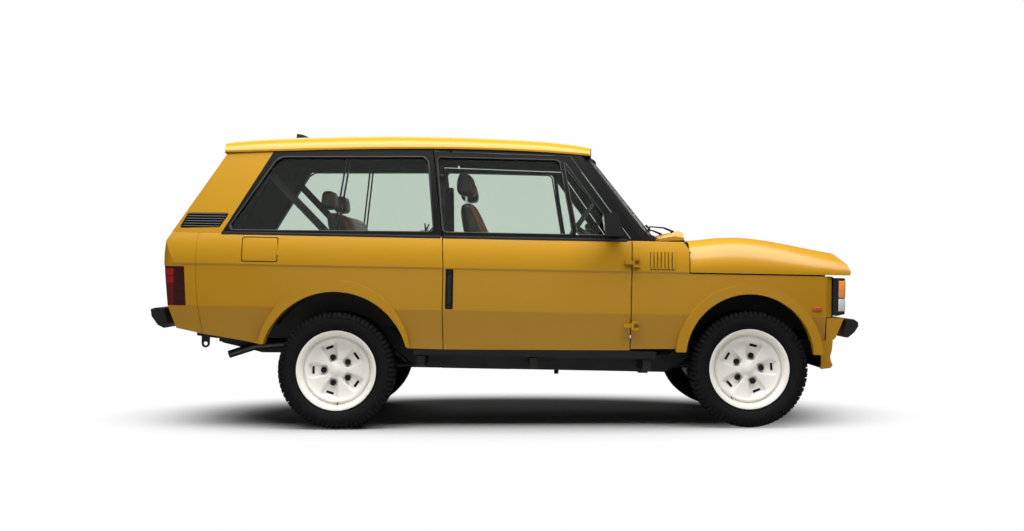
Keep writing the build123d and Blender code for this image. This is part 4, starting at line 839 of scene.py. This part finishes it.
# Glass: float glass about 6 mm thick, faintly green, set in black rubber.

float_glass, tree, shader, place = start_material("tinted_float_glass")
mottle(tree, shader, place, 0.8, "#dbe5dc", "#e0e9e1")
shader.inputs["Roughness"].default_value = 0.0
shader.inputs["IOR"].default_value = 1.4
shader.inputs["Transmission Weight"].default_value = 1.0
dress(float_glass, "windscreen", "side_glass", "door_glass_left", "door_glass_right", "tailgate_glass")

# The floor: pressed steel, with tufted carpet glued over it and over the wheel boxes.
carpet, tree, shader, place = start_material("tufted_carpet")
tufts = add(tree, "TexNoise", {"Vector": place, "Scale": 320.0, "Detail": 2.0})
emboss(tree, shader, tufts.outputs["Fac"], 0.002, 0.9)
mottle(tree, shader, place, 40.0, "#191410", "#231d17")
shader.inputs["Roughness"].default_value = 1.0


def floor_zone(centre, normal):
    return 1 if normal.z > 0.3 or (centre.z > 0.655 and abs(centre.y) < 0.565) else 0


zones("floor_pan", [chassis_black, carpet], floor_zone)

# Louvres: seven ribs pressed out of each wing. Thin black strips are painted shade: along each rib's rear
# edge, where it opens, and under its foot as a painted shadow.
LOUVRES = 7
RISE = 0.0202
bm = bmesh.new()
for i in range(LOUVRES):
    x = 0.648 + i * 0.134 / (LOUVRES - 1)
    for k in range(5):
        low, high = 1.0 + k * RISE, 1.0 + (k + 1) * RISE
        y = skin(x, (low + high) / 2) + 0.0012
        lean = Matrix.Rotation(-math.atan2(skin(x, low) - skin(x, high), high - low), 3, "X")
        # A black strip at the rib's rear edge, on each side: part opening, part painted shade.
        slab(bm, (x - 0.003, y - 0.002, low), (x - 0.001, y + 0.002, high), 0.0, lean.inverted())
        slab(bm, (x - 0.003, -y - 0.002, low), (x - 0.001, 0.002 - y, high), 0.0, lean)
    # A black strip under the rib's foot: a painted shadow.
    twin_slabs(bm, (x - 0.003, skin(x, 0.993) - 0.002, 0.9905), (x + 0.01, skin(x, 0.993) + 0.0012, 0.9945))
piece("louvre_painted_shade_strips", bm, "chassis", black_enamel)

# Seat belts: flat woven webbing, 48 mm wide, from reels on the pillars to the seats' sides.
BELT_HALF = 0.024
REAR_BELT = [
    (-1.79, 0.63, 1.605), (-1.6, 0.62, 1.413), (-1.36, 0.6, 1.17), (-1.262, 0.565, 0.96),
    (-1.25, 0.56, 0.835),
]
FRONT_BELT = [(-0.652, 0.705, 1.53), (-0.645, 0.712, 1.25), (-0.635, 0.72, 0.95), (-0.62, 0.722, 0.6)]
webbing, tree, shader, place = start_material("woven_polyester_webbing")
weave = add(tree, "TexWave", {"Vector": place, "Scale": 260.0}, bands_direction="DIAGONAL")
emboss(tree, shader, weave.outputs["Fac"], 0.0006, 0.6)
mottle(tree, shader, place, 30.0, "#0b0b0b", "#141413")
shader.inputs["Roughness"].default_value = 0.8
bm = bmesh.new()
for s in (1, -1):
    for run in (REAR_BELT, FRONT_BELT):
        for start, end in zip(run, run[1:]):
            start, end = Vector((start[0], s * start[1], start[2])), Vector((end[0], s * end[1], end[2]))
            along = (end - start).normalized()
            across = along.cross(Vector((0, 1, 0))).normalized() * BELT_HALF
            out = across.cross(along).normalized() * 0.0007
            section = [edge * across + face * out for edge in (1, -1) for face in (1, -1)]
            corners = [spot + offset for spot in (start, end) for offset in section]
            bmesh.ops.convex_hull(bm, input=[bm.verts.new(corner) for corner in corners])
    for x_low, x_high, inner, outer, z_low, z_high in (
        (-1.815, -1.765, 0.61, 0.65, 1.585, 1.635), (-0.675, -0.63, 0.7, 0.735, 1.515, 1.56),
    ):
        low_y, high_y = sorted((s * inner, s * outer))
        slab(bm, (x_low, low_y, z_low), (x_high, high_y, z_high), 0.008)
piece("seat_belts", bm, "chassis", webbing)

# The rear side windows slide, and a sprung catch at their front end locks them.
bm = bmesh.new()
for s in (1, -1):
    low_y, high_y = sorted((s * 0.796, s * 0.812))
    slab(bm, (-0.77, low_y, 1.192), (-0.71, high_y, 1.206), 0.003)
    post(bm, (-0.735, s * 0.804, 1.2), (-0.745, s * 0.8, 1.25), 0.007, 0.004, sides=12, soften=0.001)
    post(bm, (-0.735, s * 0.804, 1.2), (-0.718, s * 0.8, 1.246), 0.006, 0.004, sides=12, soften=0.001)
piece("window_catches", bm, "chassis", moulding)


# The dashboard: a padded moulding with a hooded instrument box, and the gear lever on the tunnel.

dress(lining, "dashboard", "steering_wheel")
bm = bmesh.new()
slab(bm, (0.47, 0.2, 1.1), (0.6, 0.56, 1.215), 0.02)
slab(bm, (0.452, -0.62, 1.02), (0.475, -0.22, 1.05), 0.01)
slab(bm, (0.443, -0.15, 0.9), (0.47, 0.15, 1.12), 0.012)
post(bm, (0.3, -0.02, 0.6), (0.25, -0.02, 0.84), 0.008, 0.006, sides=12)
knob = Matrix.Translation((0.248, -0.02, 0.858))
bmesh.ops.create_uvsphere(bm, u_segments=20, v_segments=12, radius=0.024, matrix=knob)
slab(bm, (-0.1, -0.11, 0.484), (0.48, 0.11, 0.62), 0.045)
for y in (0.3, 0.4, 0.5):
    slab(bm, (0.56, y - 0.032, 0.6), (0.572, y + 0.032, 0.66), 0.004, Matrix.Rotation(0.5, 3, "Y"))
    post(bm, (0.572, y, 0.64), (0.64, y, 0.8), 0.007, sides=10)
post(bm, (0.262, 0.38, 1.269), (0.236, 0.38, 1.287), 0.055, 0.048, sides=40, soften=0.006)
post(bm, (0.36, 0.36, 1.2), (0.35, 0.2, 1.225), 0.007, 0.005, sides=10)
post(bm, (0.36, 0.4, 1.2), (0.35, 0.56, 1.225), 0.007, 0.005, sides=10)
piece("instrument_box_and_levers", bm, "chassis", lining)
bm = bmesh.new()
for y, radius in ((0.31, 0.048), (0.45, 0.048), (0.38, 0.022)):
    post(bm, (0.4695, y, 1.157), (0.4655, y, 1.157), radius, sides=40, soften=0.001)
for y in (-0.72, -0.1, 0.1, 0.72):
    post(bm, (0.452, y, 1.075), (0.442, y, 1.075), 0.032, sides=32, soften=0.003)
piece("dials_and_air_vents", bm, "chassis", moulding)


# Seats: sprung frames with foam, trimmed in brown aniline hide with fluted panels and welted seams.
# Hide is a deep brown that lightens where it is stretched, with fine pores.

hide, tree, shader, place = start_material("aniline_leather")
tone = mottle(tree, shader, place, 9.0, "#552c16", "#7a4624", 5.0)
pores = add(tree, "TexVoronoi", {"Vector": place, "Scale": 700.0})
emboss(tree, shader, pores.outputs["Distance"], 0.0005, 0.4)
rough = add(tree, "MapRange", {"Value": tone.outputs["Fac"], "To Min": 0.38, "To Max": 0.56})
tree.links.new(rough.outputs["Result"], shader.inputs["Roughness"])
# A darker copy of the hide is painted shade for the pads' sides, backs and undersides.
painted_shade_hide, tree, shader, place = start_material("painted_shade_seat_hide")
mottle(tree, shader, place, 9.0, "#1a110b", "#261810", 5.0)
pores = add(tree, "TexVoronoi", {"Vector": place, "Scale": 700.0})
emboss(tree, shader, pores.outputs["Distance"], 0.0005, 0.4)
shader.inputs["Roughness"].default_value = 0.5


def drawn_smaller(line, by):
    """An outline of side-view points with every edge moved in by a distance."""
    turn = sum(ax * bz - bx * az for (ax, az), (bx, bz) in zip(line, line[1:] + line[:1]))
    smaller = []
    for i, spot in enumerate(line):
        before = (Vector(spot) - Vector(line[i - 1])).normalized()
        after = (Vector(line[(i + 1) % len(line)]) - Vector(spot)).normalized()
        inward = Vector((-before.y - after.y, before.x + after.x)) * (1 if turn > 0 else -1)
        reach = by / max(0.35, (1 + before.dot(after)) / 2) ** 0.5
        smaller.append(Vector(spot) + inward.normalized() * reach)
    return smaller


CLOTH_STEPS = 20


def swollen(pad, cap):
    """Blows the pad up a little as cloth, holds every point within a distance, and keeps the shape."""
    scene = bpy.context.scene
    cloth = pad.modifiers.new("Cloth", "CLOTH")
    cloth.settings.use_pressure = True
    cloth.settings.uniform_pressure_force = 4.0
    cloth.settings.effector_weights.gravity = 0.0
    cloth.point_cache.frame_end = CLOTH_STEPS
    for step in range(1, CLOTH_STEPS + 1):
        scene.frame_set(step)
    held = pad.evaluated_get(bpy.context.evaluated_depsgraph_get()).to_mesh()
    for start, end in zip(pad.data.vertices, held.vertices):
        moved = end.co - start.co
        start.co += moved * min(1.0, cap / max(moved.length, 1e-9))
    pad.modifiers.remove(cloth)
    scene.frame_set(1)


def applied(thing, kind, **settings):
    """Applies one modifier to the piece's mesh, and leaves none on it."""
    extra = thing.modifiers.new(kind.title(), kind)
    for key, value in settings.items():
        setattr(extra, key, value)
    thing.data = bpy.data.meshes.new_from_object(thing.evaluated_get(bpy.context.evaluated_depsgraph_get()))
    thing.modifiers.clear()


SEAM_HALF = 0.0055


def pad(name, line, y_low, y_high, cap, node, grooves, voxel=0.011, roll=0.03):
    """One stuffed pad: drawn in, remeshed, blown up, then sewn where the grooves run."""
    bm = bmesh.new()
    face = bm.faces.new([bm.verts.new((x, y_low + cap, z)) for x, z in drawn_smaller(line, cap)])
    pushed = bmesh.ops.extrude_face_region(bm, geom=[face])["geom"]
    verts = [item for item in pushed if isinstance(item, bmesh.types.BMVert)]
    bmesh.ops.translate(bm, vec=(0, y_high - y_low - 2 * cap, 0), verts=verts)
    bmesh.ops.bevel(
        bm, geom=bm.edges[:], offset=roll, segments=3, profile=0.5, affect="EDGES", clamp_overlap=True,
    )
    made = piece(name, bm, "chassis", hide, painted_shade_hide)
    applied(made, "REMESH", mode="VOXEL", voxel_size=voxel)
    swollen(made, cap)
    applied(made, "SUBSURF")
    outward = [vert.normal.copy() for vert in made.data.vertices]
    for vert, normal in zip(made.data.vertices, outward):
        level = LEVEL_BACK @ vert.co
        depth = 0.0
        for axis, at, deep in grooves(level):
            depth += deep * math.exp(-((level[axis] - at) / SEAM_HALF) ** 2)
        vert.co -= normal * depth
    for face in made.data.polygons:
        face.use_smooth = True
        # Faces that look forward or up take the hide; the rest take its darker copy as painted shade.
        face.material_index = 0 if face.normal.x > 0.25 or face.normal.z > 0.75 else 1
    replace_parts(made, node)
    return made


ALONG_X, ALONG_Y, ALONG_Z = 0, 1, 2
WELT_DEEP = 0.006
FLUTE_DEEP = 0.0045


def flutes(y_mid, half, along, start, gap, count):
    """Welts beside the centre panel, and flutes across it."""
    def at(level):
        lines = [(ALONG_Y, y_mid + half, WELT_DEEP), (ALONG_Y, y_mid - half, WELT_DEEP)]
        if abs(level.y - y_mid) < half:
            lines += [(along, start + gap * i, FLUTE_DEEP) for i in range(count)]
        return lines
    return at


def no_flutes(level):
    return []


SEAT_X = -0.33
SEAT_Y = 0.38
SEAT_HALF = 0.25
HEADREST_HALF = 0.13
BENCH_HALF = 0.54
x = SEAT_X
CUSHION = [(x, 0.64), (x + 0.01, 0.78), (x + 0.48, 0.8), (x + 0.5, 0.66)]
SQUAB = [
    (x + 0.03, 0.7), (x - 0.17, 1.15), (x - 0.22, 1.4), (x - 0.12, 1.412), (x - 0.02, 1.196),
    (x + 0.13, 0.78),
]
HEADREST = [
    (x - 0.239, 1.452), (x - 0.228, 1.588), (x - 0.183, 1.599), (x - 0.131, 1.571), (x - 0.103, 1.461),
    (x - 0.112, 1.43),
]
REAR_HEADREST = [(-1.45, 1.338), (-1.44, 1.467), (-1.35, 1.467), (-1.335, 1.338)]
REAR_CUSHION = [(-1.22, 0.66), (-1.22, 0.8), (-0.7, 0.83), (-0.69, 0.7)]
REAR_SQUAB = [(-1.25, 0.78), (-1.42, 1.33), (-1.33, 1.345), (-1.24, 1.3), (-1.1, 0.79)]
for side, s in (("left", 1), ("right", -1)):
    y = s * SEAT_Y
    pad(
        f"front_cushion_{side}", CUSHION, y - SEAT_HALF, y + SEAT_HALF, 0.014, "front_seats",
        flutes(y, 0.155, ALONG_X, SEAT_X + 0.12, 0.06, 6),
    )
    pad(
        f"front_squab_{side}", SQUAB, y - SEAT_HALF, y + SEAT_HALF, 0.012, "front_seats",
        flutes(y, 0.155, ALONG_Z, 0.9, 0.065, 7),
    )
    pad(
        f"front_headrest_{side}", HEADREST, y - HEADREST_HALF, y + HEADREST_HALF, 0.008, "front_seats",
        no_flutes, 0.008, 0.025,
    )
    low_y, high_y = sorted((s * 0.21, s * 0.45))
    pad(f"rear_headrest_{side}", REAR_HEADREST, low_y, high_y, 0.008, "rear_seat", no_flutes, 0.008, 0.025)
pad(
    "rear_cushion", REAR_CUSHION, -BENCH_HALF, BENCH_HALF, 0.014, "rear_seat",
    flutes(0, 0.42, ALONG_X, -1.05, 0.065, 5), 0.014,
)
pad(
    "rear_squab", REAR_SQUAB, -BENCH_HALF, BENCH_HALF, 0.014, "rear_seat",
    flutes(0, 0.42, ALONG_Z, 0.88, 0.075, 6), 0.014,
)

# Under the front seats stand trimmed boxes with runners, and plated posts carry the headrests.
bm = bmesh.new()
for s in (1, -1):
    y = s * SEAT_Y
    slab(bm, (-0.3, y - 0.2, 0.4845), (0.14, y + 0.2, 0.66), 0.012)
    for across in (-0.16, 0.16):
        slab(bm, (-0.29, y + across - 0.012, 0.62), (0.16, y + across + 0.012, 0.665), 0.003)
base = piece("front_seat_boxes", bm, "chassis", lining)
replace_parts(base, "front_seats")
bm = bmesh.new()
for s in (1, -1):
    for across in (-0.054, 0.054):
        y = s * SEAT_Y + across
        post(bm, (-0.503, y, 1.37), (-0.503, y, 1.47), 0.006, sides=12)
piece("headrest_posts", bm, "chassis", mirror_plate)
